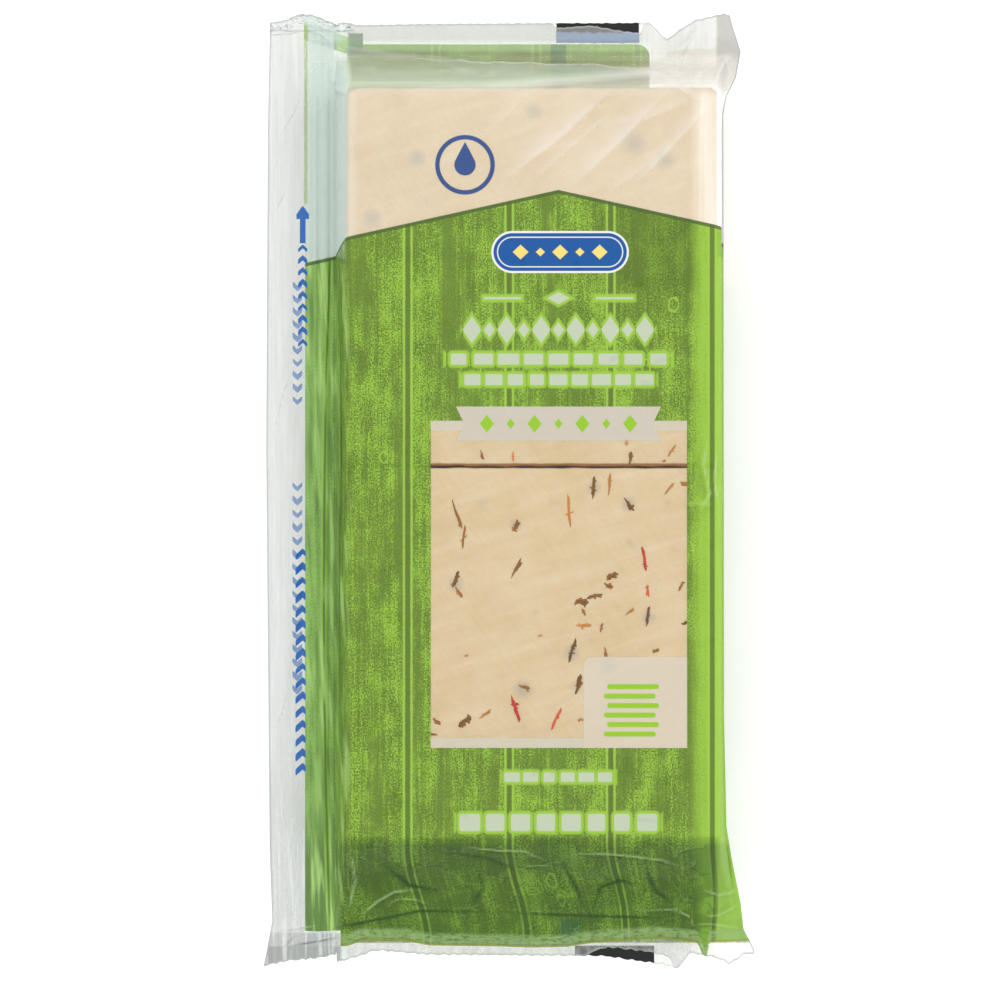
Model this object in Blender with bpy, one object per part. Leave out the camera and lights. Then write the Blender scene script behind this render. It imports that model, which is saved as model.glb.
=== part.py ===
"""A film pack of sliced cheese with a press-to-close zip, lying on its back.

Two stacks of square slices lie end to end in a film pouch. The film is drawn round them and
sealed flat across both ends, and the zip runs up the left side inside a flat flange.
+X is to the right of the printed face, +Y to its top and +Z up. The origin is the middle of the
pack, on the surface that it lies on.
"""

import math

import bmesh
import bpy

MM = 0.001

# The cheese that gives the pouch its form
SLICE_SIDE = 91.0 * MM
SLICES_IN_A_STACK = 12
SLICE_THICKNESS = 2.09 * MM
STACK_GAP = 1.7 * MM
CHEESE_LEFT = -39.5 * MM
CHEESE_TOP = 98.9 * MM

# The film round it
FILM_CLEARANCE = 0.2 * MM
CORNER_RADIUS = 2.6 * MM
SEAM_HEIGHT = 9.0 * MM
FIN_THICKNESS = 0.8 * MM
WALL_LEAN_LEFT = 2.5 * MM
WALL_BULGE_RIGHT = 0.8 * MM
SLOPE_FLARE_SHARE = 0.75
FIN_STRIP = 0.4 * MM
FIN_DROOP_BOTTOM = 3.2 * MM
FIN_DROOP_TOP = 1.2 * MM

# The flange with the zip
FLANGE_THICKNESS = 2.6 * MM
ZIP_LEFT = -48.9 * MM
ZIP_WIDTH = 6.2 * MM
ZIP_TAPE = 0.5 * MM
ZIP_RIB_HEIGHT = 1.2 * MM
ZIP_CLOSURE_WIDTH = 1.2 * MM
ZIP_GUIDE_WIDTH = 0.5 * MM
ZIP_ENDS = (-112.0 * MM, 113.2 * MM)
ZIP_GAP = 0.3 * MM

# The ear of film at the top right corner
EAR_LIFT = 9.5 * MM
EAR_FROM_X = 34.0 * MM
EAR_TO_X = 55.0 * MM
EAR_FROM_Y = 97.0 * MM
EAR_TO_Y = 112.0 * MM

# Worked out from the sizes above
STACK_HEIGHT = SLICES_IN_A_STACK * SLICE_THICKNESS
PACK_HEIGHT = STACK_HEIGHT + 2.0 * FILM_CLEARANCE
CHEESE_RIGHT = CHEESE_LEFT + SLICE_SIDE
CHEESE_BOTTOM = CHEESE_TOP - 2.0 * SLICE_SIDE - STACK_GAP
WALL_LEFT = CHEESE_LEFT - FILM_CLEARANCE
WALL_RIGHT = CHEESE_RIGHT + FILM_CLEARANCE
FOOT_LEFT = WALL_LEFT - WALL_LEAN_LEFT
FLANGE_LEFT = ZIP_LEFT - 2.0 * ZIP_GAP
FULL_RISE = PACK_HEIGHT - SEAM_HEIGHT - FIN_THICKNESS / 2.0

# Outlines, each as places in millimetres: where along the side, and how far out the film reaches
HEADER_EDGE = [(-117, -60.0), (-112, -59.0), (-105, -57.7), (-88, -58.3), (10, -59.2), (90, -58.8), (116, -58.3)]
RIGHT_EDGE = [
    (-117, 60.1), (-112, 60.0), (-107, 57.4), (-101, 56.7), (-90, 54.5), (-82, 53.2), (-55, 52.6),
    (92, 52.5), (96, 53.2), (101, 55.6), (107, 56.6), (113, 54.6), (117, 53.6),
]
TOP_CUT = [
    (-58, 114.6), (-54.5, 115.2), (-51.5, 116.6), (-48, 116.4), (-41.5, 113.8), (-38, 114.6), (-35, 113.9),
    (-10, 114.3), (34, 114.5), (37, 110.2), (40.5, 112.6), (44.5, 114.8), (51.5, 116.2), (54, 115.2),
]
BOTTOM_CUT = [
    (-60, -116.2), (-54, -114.8), (-46, -114.0), (-41, -112.8), (-40, -115.2), (-35, -113.7), (-31, -112.2),
    (-19, -113.3), (20, -113.6), (33, -115.6), (37, -116.7), (39.5, -112.8), (46, -114.2), (48.5, -115.6),
    (52, -113.2), (60, -112.4),
]

# How much of the block's height is left along each end, from the cheese out to the flat seal
FRONT_RISE = [
    (-106, 0.0), (-101, 0.07), (-96, 0.22), (-91, 0.48), (-87.6, 0.76), (-85.6, 0.92), (-84.2, 0.98),
    (-81, 1.0), (95.8, 1.0), (98.1, 0.985), (99.3, 0.93), (100.6, 0.78), (102.6, 0.42), (104.6, 0.12), (106.6, 0.0),
]
BACK_DROP = [
    (-106, 0.0), (-99, 0.15), (-92, 0.5), (-87, 0.86), (-84, 0.97), (-81, 1.0),
    (96, 1.0), (99.5, 0.93), (102.2, 0.6), (105, 0.2), (107.6, 0.0),
]

# Folds where the slack film gathers: start, end, height and half width, in millimetres
FRONT_FOLDS = [
    ((-44, -106), (-2, -101), -1.1, 1.6),
    ((12, -89), (20, -103), 1.5, 2.2),
    ((26, -95), (20, -103), 1.2, 1.8),
    ((-30, -88), (-36, -101), 1.2, 2.4),
    ((38, -87), (52, -97), 1.5, 2.4),
    ((-12, -92), (-6, -101), 1.0, 2.0),
    ((44, -103), (58, -109), 1.4, 2.0),
    ((33, 101), (42, 110), 1.3, 1.8),
    ((46, 99), (52, 106), 1.5, 1.8),
    ((-38, 101), (-34, 108), 1.1, 1.6),
]

HEADER_COLUMNS = 3
FLANGE_COLUMNS = 3
WALL_COLUMNS = 3
ARC_COLUMNS = 4
FACE_COLUMNS = 22
FIN_COLUMNS = 4
BOTTOM_ROWS = 20
BODY_ROWS = 12
TOP_ROWS = 15
END_INSET = 3.0 * MM


def smooth(low, high, value):
    """An even S-curve from 0 at low to 1 at high."""
    share = min(max((value - low) / (high - low), 0.0), 1.0)
    return share * share * (3.0 - 2.0 * share)


def mix(first, second, share):
    """The value a share of the way from first to second."""
    return first + (second - first) * share


def along(knots, place):
    """Read a profile, given in millimetres, at a place in metres."""
    at = place / MM
    if at <= knots[0][0]:
        return knots[0][1]
    for (low, first), (high, second) in zip(knots, knots[1:]):
        if at <= high:
            return mix(first, second, (at - low) / (high - low))
    return knots[-1][1]


def fold_height(x, y):
    """Height that the gathered film adds at a place, from every fold near it."""
    total = 0.0
    for (ax, ay), (bx, by), height, width in FRONT_FOLDS:
        run_x, run_y = bx - ax, by - ay
        length = run_x * run_x + run_y * run_y
        share = min(max(((x / MM - ax) * run_x + (y / MM - ay) * run_y) / length, 0.0), 1.0)
        gap = math.hypot(x / MM - ax - share * run_x, y / MM - ay - share * run_y)
        total += height * MM * math.exp(-((gap / width) ** 2))
    return total


def seam_height(x, y):
    """Height of the middle of the seals and fins, with the ear lifted and the ends drooping."""
    past_flange = smooth(FOOT_LEFT, FOOT_LEFT + 14.0 * MM, x)
    ear = EAR_LIFT * smooth(EAR_FROM_X, EAR_TO_X, x) * smooth(EAR_FROM_Y, EAR_TO_Y, y)
    bottom = FIN_DROOP_BOTTOM * smooth(-96.0 * MM, -115.0 * MM, y)
    top = FIN_DROOP_TOP * smooth(103.0 * MM, 115.0 * MM, y)
    wave = 0.5 * MM * math.sin(x / (5.2 * MM)) * (bottom / FIN_DROOP_BOTTOM + top / FIN_DROOP_TOP)
    return SEAM_HEIGHT + ear + past_flange * (wave - bottom - top)


def right_foot(y):
    """Where the right wall meets its fin: near the film's edge, further in where the ends flare."""
    edge = along(RIGHT_EDGE, y) * MM
    return edge - FIN_STRIP - (1.0 - SLOPE_FLARE_SHARE) * max(edge - WALL_RIGHT - WALL_BULGE_RIGHT, 0.0)


def section_columns():
    """The columns across the pouch, each as the zone it lies in and its share of that zone."""
    zones = [
        ("header", HEADER_COLUMNS),
        ("flange", FLANGE_COLUMNS),
        ("wall_left", WALL_COLUMNS),
        ("arc_left", ARC_COLUMNS),
        ("face", FACE_COLUMNS),
        ("arc_right", ARC_COLUMNS),
        ("wall_right", WALL_COLUMNS),
        ("fin", FIN_COLUMNS),
    ]
    columns = [(zone, step / count) for zone, count in zones for step in range(count)]
    return columns + [("fin", 1.0)]


def column_place(zone, share, y):
    """Where a column lies across the pouch at y, and its share of the block's height there."""
    rise = along(FRONT_RISE, y)
    shoulder = (PACK_HEIGHT - CORNER_RADIUS - SEAM_HEIGHT) / FULL_RISE
    spread = math.sqrt(rise)
    left = mix(FOOT_LEFT + FIN_STRIP, WALL_LEFT, spread)
    right = mix(right_foot(y) - FIN_STRIP, WALL_RIGHT, spread)
    if zone == "header":
        return mix(along(HEADER_EDGE, y) * MM, FLANGE_LEFT, share), 0.0
    if zone == "flange":
        return mix(FLANGE_LEFT, FOOT_LEFT, share), 0.0
    if zone == "wall_left":
        return mix(FOOT_LEFT, left, share ** 1.4), shoulder * share
    if zone == "arc_left":
        angle = share * math.pi / 2.0
        return left + CORNER_RADIUS * (1.0 - math.cos(angle)), mix(shoulder, 1.0, math.sin(angle))
    if zone == "face":
        return mix(left + CORNER_RADIUS, right - CORNER_RADIUS, share), 1.0
    if zone == "arc_right":
        angle = (1.0 - share) * math.pi / 2.0
        return right - CORNER_RADIUS * (1.0 - math.cos(angle)), mix(shoulder, 1.0, math.sin(angle))
    if zone == "wall_right":
        return mix(right, right_foot(y), share ** 0.7), shoulder * (1.0 - share)
    return mix(right_foot(y), along(RIGHT_EDGE, y) * MM, share), 0.0


def row_place(row, x):
    """Where a row lies along the pouch at x: the outer rows follow the cut ends."""
    low, high = CHEESE_BOTTOM + END_INSET, CHEESE_TOP - END_INSET
    if row < BOTTOM_ROWS:
        return mix(along(BOTTOM_CUT, x) * MM, low, row / BOTTOM_ROWS)
    if row <= BOTTOM_ROWS + BODY_ROWS:
        return mix(low, high, (row - BOTTOM_ROWS) / BODY_ROWS)
    return mix(high, along(TOP_CUT, x) * MM, (row - BOTTOM_ROWS - BODY_ROWS) / TOP_ROWS)


def half_thickness(zone, share):
    """Half the thickness of the flat film at a column: full over the zip, thin elsewhere."""
    if zone == "flange" or (zone, share) == ("wall_left", 0.0):
        return FLANGE_THICKNESS / 2.0
    return FIN_THICKNESS / 2.0


def sheet_point(column, row, columns, front):
    """The place of one point of the front or back sheet."""
    zone, share = columns[column]
    nominal, _ = column_place(zone, share, 0.0)
    y = row_place(row, nominal)
    x, lift = column_place(zone, share, y)
    seam = seam_height(x, y)
    half = half_thickness(zone, share)
    if front:
        base = seam + half
        rise = max(PACK_HEIGHT - base, 0.0) * lift * along(FRONT_RISE, y)
        slack = smooth(0.0, 0.25, 1.0 - along(FRONT_RISE, y))
        gathered = fold_height(x, y) * slack if x > FOOT_LEFT + FIN_STRIP else 0.0
        return x, y, base + rise + max(gathered, -rise * 0.5)
    base = seam - half
    return x, y, base - base * min(lift, 1.0) * along(BACK_DROP, y)


def finish(name, colour, roughness, alpha=1.0):
    """A plain material for one piece."""
    material = bpy.data.materials.new(name)
    material.use_nodes = True
    shader = material.node_tree.nodes["Principled BSDF"]
    shader.inputs["Base Color"].default_value = (*colour, 1.0)
    shader.inputs["Roughness"].default_value = roughness
    shader.inputs["Alpha"].default_value = alpha
    return material


def add_sheet(bm, columns, front):
    """One face of the pouch: a grid whose points are moved to the film's own form."""
    across, length = len(columns) - 1, BOTTOM_ROWS + BODY_ROWS + TOP_ROWS
    grid = bmesh.ops.create_grid(bm, x_segments=across, y_segments=length, size=0.5)
    edge = []
    for vertex in grid["verts"]:
        column = round((vertex.co.x + 0.5) * across)
        row = round((vertex.co.y + 0.5) * length)
        vertex.co = sheet_point(column, row, columns, front)
    for vertex in grid["verts"]:
        edge.extend(link for link in vertex.link_edges if link.is_boundary)
    return set(edge)


def build_pouch(collection):
    """The filled pouch as one closed body, with a slot up its flange for the zip."""
    columns = section_columns()
    bm = bmesh.new()
    rims = add_sheet(bm, columns, True) | add_sheet(bm, columns, False)
    bmesh.ops.bridge_loops(bm, edges=list(rims))
    bmesh.ops.recalc_face_normals(bm, faces=bm.faces)
    mesh = bpy.data.meshes.new("film_pouch")
    bm.to_mesh(mesh)
    bm.free()
    pouch = bpy.data.objects.new("film_pouch", mesh)
    pouch.data.materials.append(finish("printed_film", (0.22, 0.42, 0.09), 0.3))
    mesh.shade_smooth()
    mesh.set_sharp_from_angle(angle=math.radians(35.0))
    collection.objects.link(pouch)
    return pouch


def cut_zip_slot(pouch, cutters):
    """Cut the straight slot, open at both ends, that the zip lies in."""
    width = ZIP_WIDTH + 2.0 * ZIP_GAP
    height = ZIP_RIB_HEIGHT + 2.0 * ZIP_GAP
    bpy.ops.mesh.primitive_cube_add(size=1.0, location=(ZIP_LEFT - ZIP_GAP + width / 2.0, 0.0, SEAM_HEIGHT))
    slot = bpy.context.object
    slot.name = "zip_slot"
    slot.scale = (width, 260.0 * MM, height)
    for owner in list(slot.users_collection):
        owner.objects.unlink(slot)
    cutters.objects.link(slot)
    slot.hide_render = True
    slot.display_type = "WIRE"
    cut = pouch.modifiers.new("slot", "BOOLEAN")
    cut.operation = "DIFFERENCE"
    cut.object = slot


def build_zip(collection):
    """The closed zip: a flat tape with a closure rib and a guide rib on both faces."""
    half_tape, half_rib = ZIP_TAPE / 2.0, ZIP_RIB_HEIGHT / 2.0
    right = ZIP_LEFT + ZIP_WIDTH
    closure = right - 2.2 * ZIP_CLOSURE_WIDTH
    guide = closure - 4.0 * ZIP_GUIDE_WIDTH
    upper = [
        (ZIP_LEFT, half_tape),
        (guide, half_tape),
        (guide, half_tape + 0.2 * MM),
        (guide + ZIP_GUIDE_WIDTH, half_tape + 0.2 * MM),
        (guide + ZIP_GUIDE_WIDTH, half_tape),
        (closure, half_tape),
        (closure, half_rib),
        (closure + ZIP_CLOSURE_WIDTH, half_rib),
        (closure + ZIP_CLOSURE_WIDTH, half_tape),
        (right, half_tape),
    ]
    outline = upper + [(x, -z) for x, z in reversed(upper)]
    curve = bpy.data.curves.new("zip_strip", "CURVE")
    curve.dimensions = "2D"
    curve.fill_mode = "BOTH"
    curve.extrude = (ZIP_ENDS[1] - ZIP_ENDS[0]) / 2.0
    spline = curve.splines.new("POLY")
    spline.points.add(len(outline) - 1)
    for point, (x, z) in zip(spline.points, outline):
        point.co = (x, z, 0.0, 1.0)
    spline.use_cyclic_u = True
    strip = bpy.data.objects.new("zip_strip", curve)
    strip.location = (0.0, sum(ZIP_ENDS) / 2.0, SEAM_HEIGHT)
    strip.rotation_euler = (math.radians(90.0), 0.0, 0.0)
    strip.data.materials.append(finish("zip_plastic", (0.62, 0.72, 0.66), 0.35))
    collection.objects.link(strip)


def main():
    """Clear the scene and build the pack."""
    for old in list(bpy.data.objects):
        bpy.data.objects.remove(old, do_unlink=True)
    pack = bpy.data.collections.new("sliced_cheese_pack")
    cutters = bpy.data.collections.new("cutters")
    bpy.context.scene.collection.children.link(pack)
    bpy.context.scene.collection.children.link(cutters)
    pouch = build_pouch(pack)
    cut_zip_slot(pouch, cutters)
    build_zip(pack)


main()
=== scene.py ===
"""Looks of a film pack of sliced cheese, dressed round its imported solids.

The pouch is a clear film printed in wood-grain green. Under it lie two stacks of slices with
flecks of pepper, and a press-to-close zip runs up the flange on the left.
Sizes in the classes are millimetres. Meshes are in metres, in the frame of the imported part.
"""

import logging
import math
from dataclasses import dataclass, field
from enum import Enum

import bmesh
import bpy
import numpy as np
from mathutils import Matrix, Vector

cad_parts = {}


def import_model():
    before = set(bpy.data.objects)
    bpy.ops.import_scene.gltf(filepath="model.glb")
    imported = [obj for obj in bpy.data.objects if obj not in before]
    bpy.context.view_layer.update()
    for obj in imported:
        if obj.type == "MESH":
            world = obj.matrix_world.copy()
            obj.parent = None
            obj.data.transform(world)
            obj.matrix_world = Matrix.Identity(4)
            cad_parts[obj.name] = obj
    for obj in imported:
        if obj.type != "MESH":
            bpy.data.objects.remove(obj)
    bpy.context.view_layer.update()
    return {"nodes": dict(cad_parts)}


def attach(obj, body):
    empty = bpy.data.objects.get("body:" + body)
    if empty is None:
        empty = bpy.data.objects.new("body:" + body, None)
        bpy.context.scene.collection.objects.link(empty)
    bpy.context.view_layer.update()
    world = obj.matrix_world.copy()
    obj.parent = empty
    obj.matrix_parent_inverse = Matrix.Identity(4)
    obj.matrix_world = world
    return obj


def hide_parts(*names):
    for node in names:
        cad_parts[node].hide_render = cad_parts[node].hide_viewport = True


MM = 0.001
BODY = "root"
ZONES = ("header", "flange", "wall_left", "arc_left", "face", "arc_right", "wall_right", "fin")
FRONT_COLUMNS = dict(zip(ZONES, (20, 30, 12, 8, 150, 8, 12, 12)))
BACK_COLUMNS = dict(zip(ZONES, (12, 16, 10, 8, 90, 8, 10, 12)))
FRONT_ROWS = (100, 220, 70)
BACK_ROWS = (70, 90, 50)
LOG = logging.getLogger("cheese_pack")

Knots = list[tuple[float, float]]
Colour = tuple[float, float, float]
Box = tuple[tuple[float, float], tuple[float, float]]


def srgb(red: float, green: float, blue: float) -> Colour:
    """Linear colour of a display colour given from 0 to 255.

    Args:
        red: Display red.
        green: Display green.
        blue: Display blue.

    Returns:
        The linear colour.
    """
    shares = (red / 255, green / 255, blue / 255)
    return tuple(c / 12.92 if c <= 0.04045 else ((c + 0.055) / 1.055) ** 2.4 for c in shares)


def along(knots: Knots, at: np.ndarray) -> np.ndarray:
    """Read a profile of straight runs at many places."""
    return np.interp(at, [k[0] for k in knots], [k[1] for k in knots])


def smooth(low: float, high: float, value: np.ndarray) -> np.ndarray:
    """An even S-curve from 0 at low to 1 at high."""
    share = np.clip((value - low) / (high - low), 0.0, 1.0)
    return share * share * (3.0 - 2.0 * share)


def mix(first: np.ndarray, second: np.ndarray, share: np.ndarray) -> np.ndarray:
    """The value a share of the way from first to second."""
    return first + (second - first) * share


class CreaseForm(Enum):
    """How a crease stands in the film."""

    SOFT = "soft"
    SHARP = "sharp"


@dataclass(frozen=True)
class Crease:
    """A fold of the film along a few straight runs.

    Attributes:
        path: Places that it runs through.
        height: How far it stands out, or in where negative.
        width: Half its width.
        form: Rounded or sharp.
    """

    path: tuple[tuple[float, float], ...]
    height: float
    width: float
    form: CreaseForm = CreaseForm.SHARP

    def shape(self, x: np.ndarray, y: np.ndarray) -> tuple[np.ndarray, np.ndarray]:
        """How strongly the crease stands out at each place, and the painted shade and highlight of its fold
        line.

        Args:
            x: Places across the pack.
            y: Places along it.

        Returns:
            The relief from 0 to 1, and the fold line's painted light and shade: for a sharp crease a thin
            light or dark core with painted shade on one side, for a soft one a painted highlight band with
            one sharp edge.
        """
        best, line = np.zeros_like(x), np.zeros_like(x)
        sign = math.copysign(1.0, self.height)
        runs = len(self.path) - 1
        for index in range(runs):
            (ax, ay), (bx, by) = self.path[index], self.path[index + 1]
            run_x, run_y = bx - ax, by - ay
            share = ((x - ax) * run_x + (y - ay) * run_y) / (run_x * run_x + run_y * run_y)
            near = np.clip(share, 0.0, 1.0)
            gap = np.hypot(x - ax - near * run_x, y - ay - near * run_y) / self.width
            place = (index + near) / runs
            fade = np.minimum(1.0, 3.2 * np.minimum(place + 0.03, 1.03 - place))
            under = (x - ax) * run_y > (y - ay) * run_x
            if self.form is CreaseForm.SOFT:
                body = np.exp(-gap * gap)
                # Soft fold: a painted highlight band, sharp on one side and fading on the other.
                drawn = np.where(under, np.exp(-gap * gap * 12.0), np.exp(-gap * 0.8))
            else:
                body = np.exp(-gap * 1.3) * (1.0 + 0.6 * gap)
                # Sharp fold: a thin painted highlight, or a dark line where the crease sinks in, with painted
                # shade fading on one side.
                drawn = sign * np.exp(-gap * gap * 4.0) - np.where(under, 0.32 * np.exp(-gap * 0.4), 0.0)
            best = np.maximum(best, body * fade)
            line = np.where(np.abs(drawn * fade) > np.abs(line), drawn * fade, line)
        return best, line


@dataclass(frozen=True)
class Ripple:
    """Smooth random relief: a sum of waves of one mean length, the same for each seed.

    Attributes:
        length: Mean length of a wave.
        seed: Which relief.
        stretch: How much longer the waves are along Y than along X.
        waves: How many waves are summed.
    """

    length: float
    seed: int
    stretch: float = 1.0
    waves: int = 26

    def at(self, x: np.ndarray, y: np.ndarray) -> np.ndarray:
        """The relief at each place, from about -1 to 1."""
        draw = np.random.default_rng(self.seed)
        total = np.zeros_like(x)
        for _ in range(self.waves):
            angle, phase = draw.uniform(0.0, 2.0 * math.pi, 2)
            turns = 2.0 * math.pi / (self.length * draw.uniform(0.7, 1.5))
            total += np.cos(turns * (x * math.cos(angle) + y * math.sin(angle) / self.stretch) + phase)
        return total / math.sqrt(self.waves)

    def ridged(self, x: np.ndarray, y: np.ndarray) -> np.ndarray:
        """The same relief folded into sharp ridges, from 0 to 1."""
        return 1.0 - np.minimum(np.abs(self.at(x, y)), 1.0)


# Path, height, half width and, where it is rounded, the form of each fold
SOFT = CreaseForm.SOFT
CREASE_ROWS = (
    (((-2.1, 74.8), (12.0, 85.5), (26.2, 98.7)), 0.5, 2.1, SOFT),
    (((4.0, 73.6), (16.0, 84.0), (28.7, 94.6)), 0.3, 0.8, SOFT),
    (((14.5, 73.1), (27.0, 85.0), (39.2, 97.7)), 0.6, 2.3, SOFT),
    (((23.8, 71.9), (30.0, 76.5), (36.7, 80.9)), 0.3, 1.3, SOFT),
    (((20.1, 88.2), (34.0, 90.5), (46.7, 96.0)), 0.4, 1.5, SOFT),
    (((30.5, 74.0), (40.0, 84.0), (48.5, 93.5)), 0.45, 1.4, SOFT),
    (((-20.0, 76.0), (-4.0, 88.0), (8.0, 99.0)), 0.16, 1.6, SOFT),
    (((34.5, 103.1), (39.9, 98.5), (46.7, 94.6)), 0.5, 1.1, SOFT),
    (((49.9, 97.7), (51.2, 101.5), (53.3, 106.0)), 1.0, 0.6),
    (((45.5, 97.0), (46.5, 104.0), (49.0, 112.0)), 0.8, 1.2, SOFT),
    (((38.0, 104.0), (42.0, 108.0), (47.5, 113.0)), 0.6, 1.0, SOFT),
    (((40.0, 100.0), (42.5, 106.0), (46.0, 112.5)), 0.25, 0.9),
    (((44.0, 98.5), (49.0, 103.0), (54.5, 106.0)), 0.3, 0.7),
    (((54.8, 99.5), (53.0, 104.5), (55.0, 108.5)), 0.2, 0.4),
    (((-32.6, 106.0), (-5.0, 104.3), (18.0, 103.6), (34.5, 102.6)), 0.5, 0.55),
    (((-43.6, 110.4), (-38.7, 107.2), (-32.6, 106.3), (-22.0, 105.4)), -0.3, 0.35),
    (((-43.6, -107.0), (-35.0, -105.3), (-21.6, -102.6), (-2.1, -102.9)), -1.3, 0.6),
    (((-2.1, -102.9), (19.9, -103.8), (41.8, -104.4)), -0.5, 0.6),
    (((-14.0, -86.4), (-2.0, -87.6), (4.0, -87.7), (10.4, -90.9)), 0.5, 0.6),
    (((2.4, -91.2), (10.4, -91.4)), 0.4, 0.5),
    (((12.6, -90.2), (14.0, -92.8), (19.9, -103.8)), -0.9, 0.8),
    (((19.9, -103.8), (22.3, -97.2), (27.0, -95.6), (31.5, -96.2)), -0.8, 0.7),
    (((12.8, -88.7), (23.8, -88.2), (37.2, -89.7), (42.3, -92.1)), 0.6, 0.6),
    (((15.5, -94.0), (21.0, -91.0), (25.0, -94.5)), 0.5, 1.4, SOFT),
    (((28.2, -102.4), (40.9, -102.1), (44.0, -103.8), (45.8, -107.5)), 0.8, 0.6),
    (((56.2, -97.2), (51.4, -98.5), (47.0, -97.0)), 0.7, 0.8),
    (((56.6, -100.6), (51.5, -103.4), (47.0, -103.9)), 0.6, 0.6),
    (((57.4, -107.2), (49.5, -105.7), (44.5, -105.9)), 0.5, 0.5),
    (((-36.5, -104.1), (-32.0, -100.0), (-27.9, -97.7), (-19.0, -97.2)), 0.7, 0.8),
    (((-32.0, -103.2), (-27.0, -99.5), (-22.6, -99.7), (-18.5, -101.4)), 0.6, 0.5),
    (((-30.0, -91.5), (-24.0, -96.5), (-16.0, -97.6)), -0.5, 1.0),
    (((-38.5, -86.5), (-37.5, -95.0), (-39.5, -104.0)), 0.5, 0.8),
    (((-8.0, -92.0), (-6.0, -97.0), (-9.5, -102.0)), -0.4, 0.9),
    (((-18.0, -88.0), (-6.0, -89.5), (4.0, -93.5)), -0.35, 0.8),
    (((33.5, -92.0), (36.0, -98.0), (40.0, -100.5)), -0.5, 1.0),
    (((30.8, -97.0), (31.2, -101.0)), 0.45, 0.4),
    (((34.0, -96.0), (33.2, -99.8)), 0.35, 0.4),
    (((-47.5, -78.0), (-45.0, -88.0), (-44.5, -94.0)), 0.18, 0.5),
    (((48.5, 14.0), (47.2, 6.0), (48.8, -1.0), (46.5, -5.0)), 0.5, 1.0),
    (((50.5, 10.0), (49.8, 2.0), (50.8, -4.0)), 0.5, 0.9),
    (((39.0, -1.5), (43.5, -3.2), (50.5, -3.6)), 0.4, 1.0),
    (((-12.0, -12.0), (4.0, -6.0), (22.0, 0.0)), 0.06, 1.6, SOFT),
    (((0.0, -28.0), (18.0, -22.0), (40.0, -18.0)), 0.06, 1.6, SOFT),
    (((-16.0, -48.0), (-2.0, -40.0), (16.0, -36.0)), 0.06, 1.4, SOFT),
    (((-38.0, 30.0), (-32.0, 18.0), (-34.0, 4.0)), 0.08, 1.2, SOFT),
    (((-41.2, 52.0), (-41.0, 10.0), (-41.6, -30.0), (-41.0, -82.0)), -0.5, 0.35),
    (((-43.3, 58.0), (-43.2, 20.0), (-42.6, 4.0)), 0.3, 0.35),
    (((-59.0, 111.4), (-54.0, 111.7), (-50.2, 112.4)), -0.35, 0.3),
    (((-42.4, 108.0), (-42.9, 101.0), (-41.6, 97.6), (-38.6, 96.0)), 0.5, 0.45),
    (((-50.0, 101.0), (-44.5, 106.0)), 0.2, 0.5),
    (((-48.5, 92.0), (-43.5, 96.0)), 0.2, 0.5),
    (((-57.5, 84.0), (-52.0, 93.0), (-50.5, 98.0)), 0.22, 0.5),
    (((-58.0, 66.0), (-53.0, 76.0)), 0.18, 0.5),
    (((-58.2, 10.0), (-55.0, 24.0), (-52.0, 31.0)), 0.18, 0.5),
    (((-57.0, -60.0), (-53.0, -46.0)), 0.16, 0.5),
    (((-55.5, -112.0), (-52.0, -108.4)), -0.25, 0.3),
    (((-49.0, -113.0), (-45.5, -108.8)), 0.3, 0.4),
    (((-56.5, -107.6), (-51.0, -107.0), (-46.0, -106.0)), 0.4, 0.5),
    (((-53.5, -111.2), (-47.0, -110.0), (-41.5, -109.0)), -0.55, 0.35),
    (((-51.0, 113.8), (-46.0, 112.0), (-42.0, 109.0)), 0.5, 0.4),
)
CREASES = tuple(Crease(*row) for row in CREASE_ROWS)


@dataclass(frozen=True)
class PackSizes:
    """The part's own driving sizes, so that the film lies where its solid does."""

    slice_width: float = 91.0
    slice_length: float = 90.4
    slice_thickness: float = 2.09
    slices: int = 12
    cheese_left: float = -39.5
    cheese_right: float = 51.5
    cheese_top: float = 98.9
    cheese_bottom: float = -84.8
    junction: float = 5.5
    film_clearance: float = 0.2
    corner_radius: float = 1.6
    seam_height: float = 9.0
    wall_lean_left: float = 2.5
    wall_bulge_right: float = 0.8
    fin_strip: float = 0.4
    flare_share: float = 0.75
    droop_bottom: float = 3.2
    droop_top: float = 1.2
    ear_lift: float = 9.5
    slope_foot_bottom: float = -106.5
    slope_run_bottom: float = 22.6
    slope_foot_top: float = 106.6
    slope_run_top: float = 10.4
    zip_left: float = -48.9
    zip_right: float = -42.7
    guide_inset: float = 4.39
    closure_inset: float = 2.04
    end_inset: float = 3.0

    @property
    def height(self) -> float:
        """Height of the whole pack."""
        return self.slices * self.slice_thickness + 2.0 * self.film_clearance

    @property
    def wall_left(self) -> float:
        """Where the left wall meets the printed face."""
        return self.cheese_left - self.film_clearance

    @property
    def wall_right(self) -> float:
        """Where the right wall meets the printed face."""
        return self.cheese_right + self.film_clearance

    @property
    def foot_left(self) -> float:
        """Where the left wall meets the flange."""
        return self.wall_left - self.wall_lean_left

    @property
    def flange_left(self) -> float:
        """Where the header ends and the zip's flange starts."""
        return self.zip_left - 0.6


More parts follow.
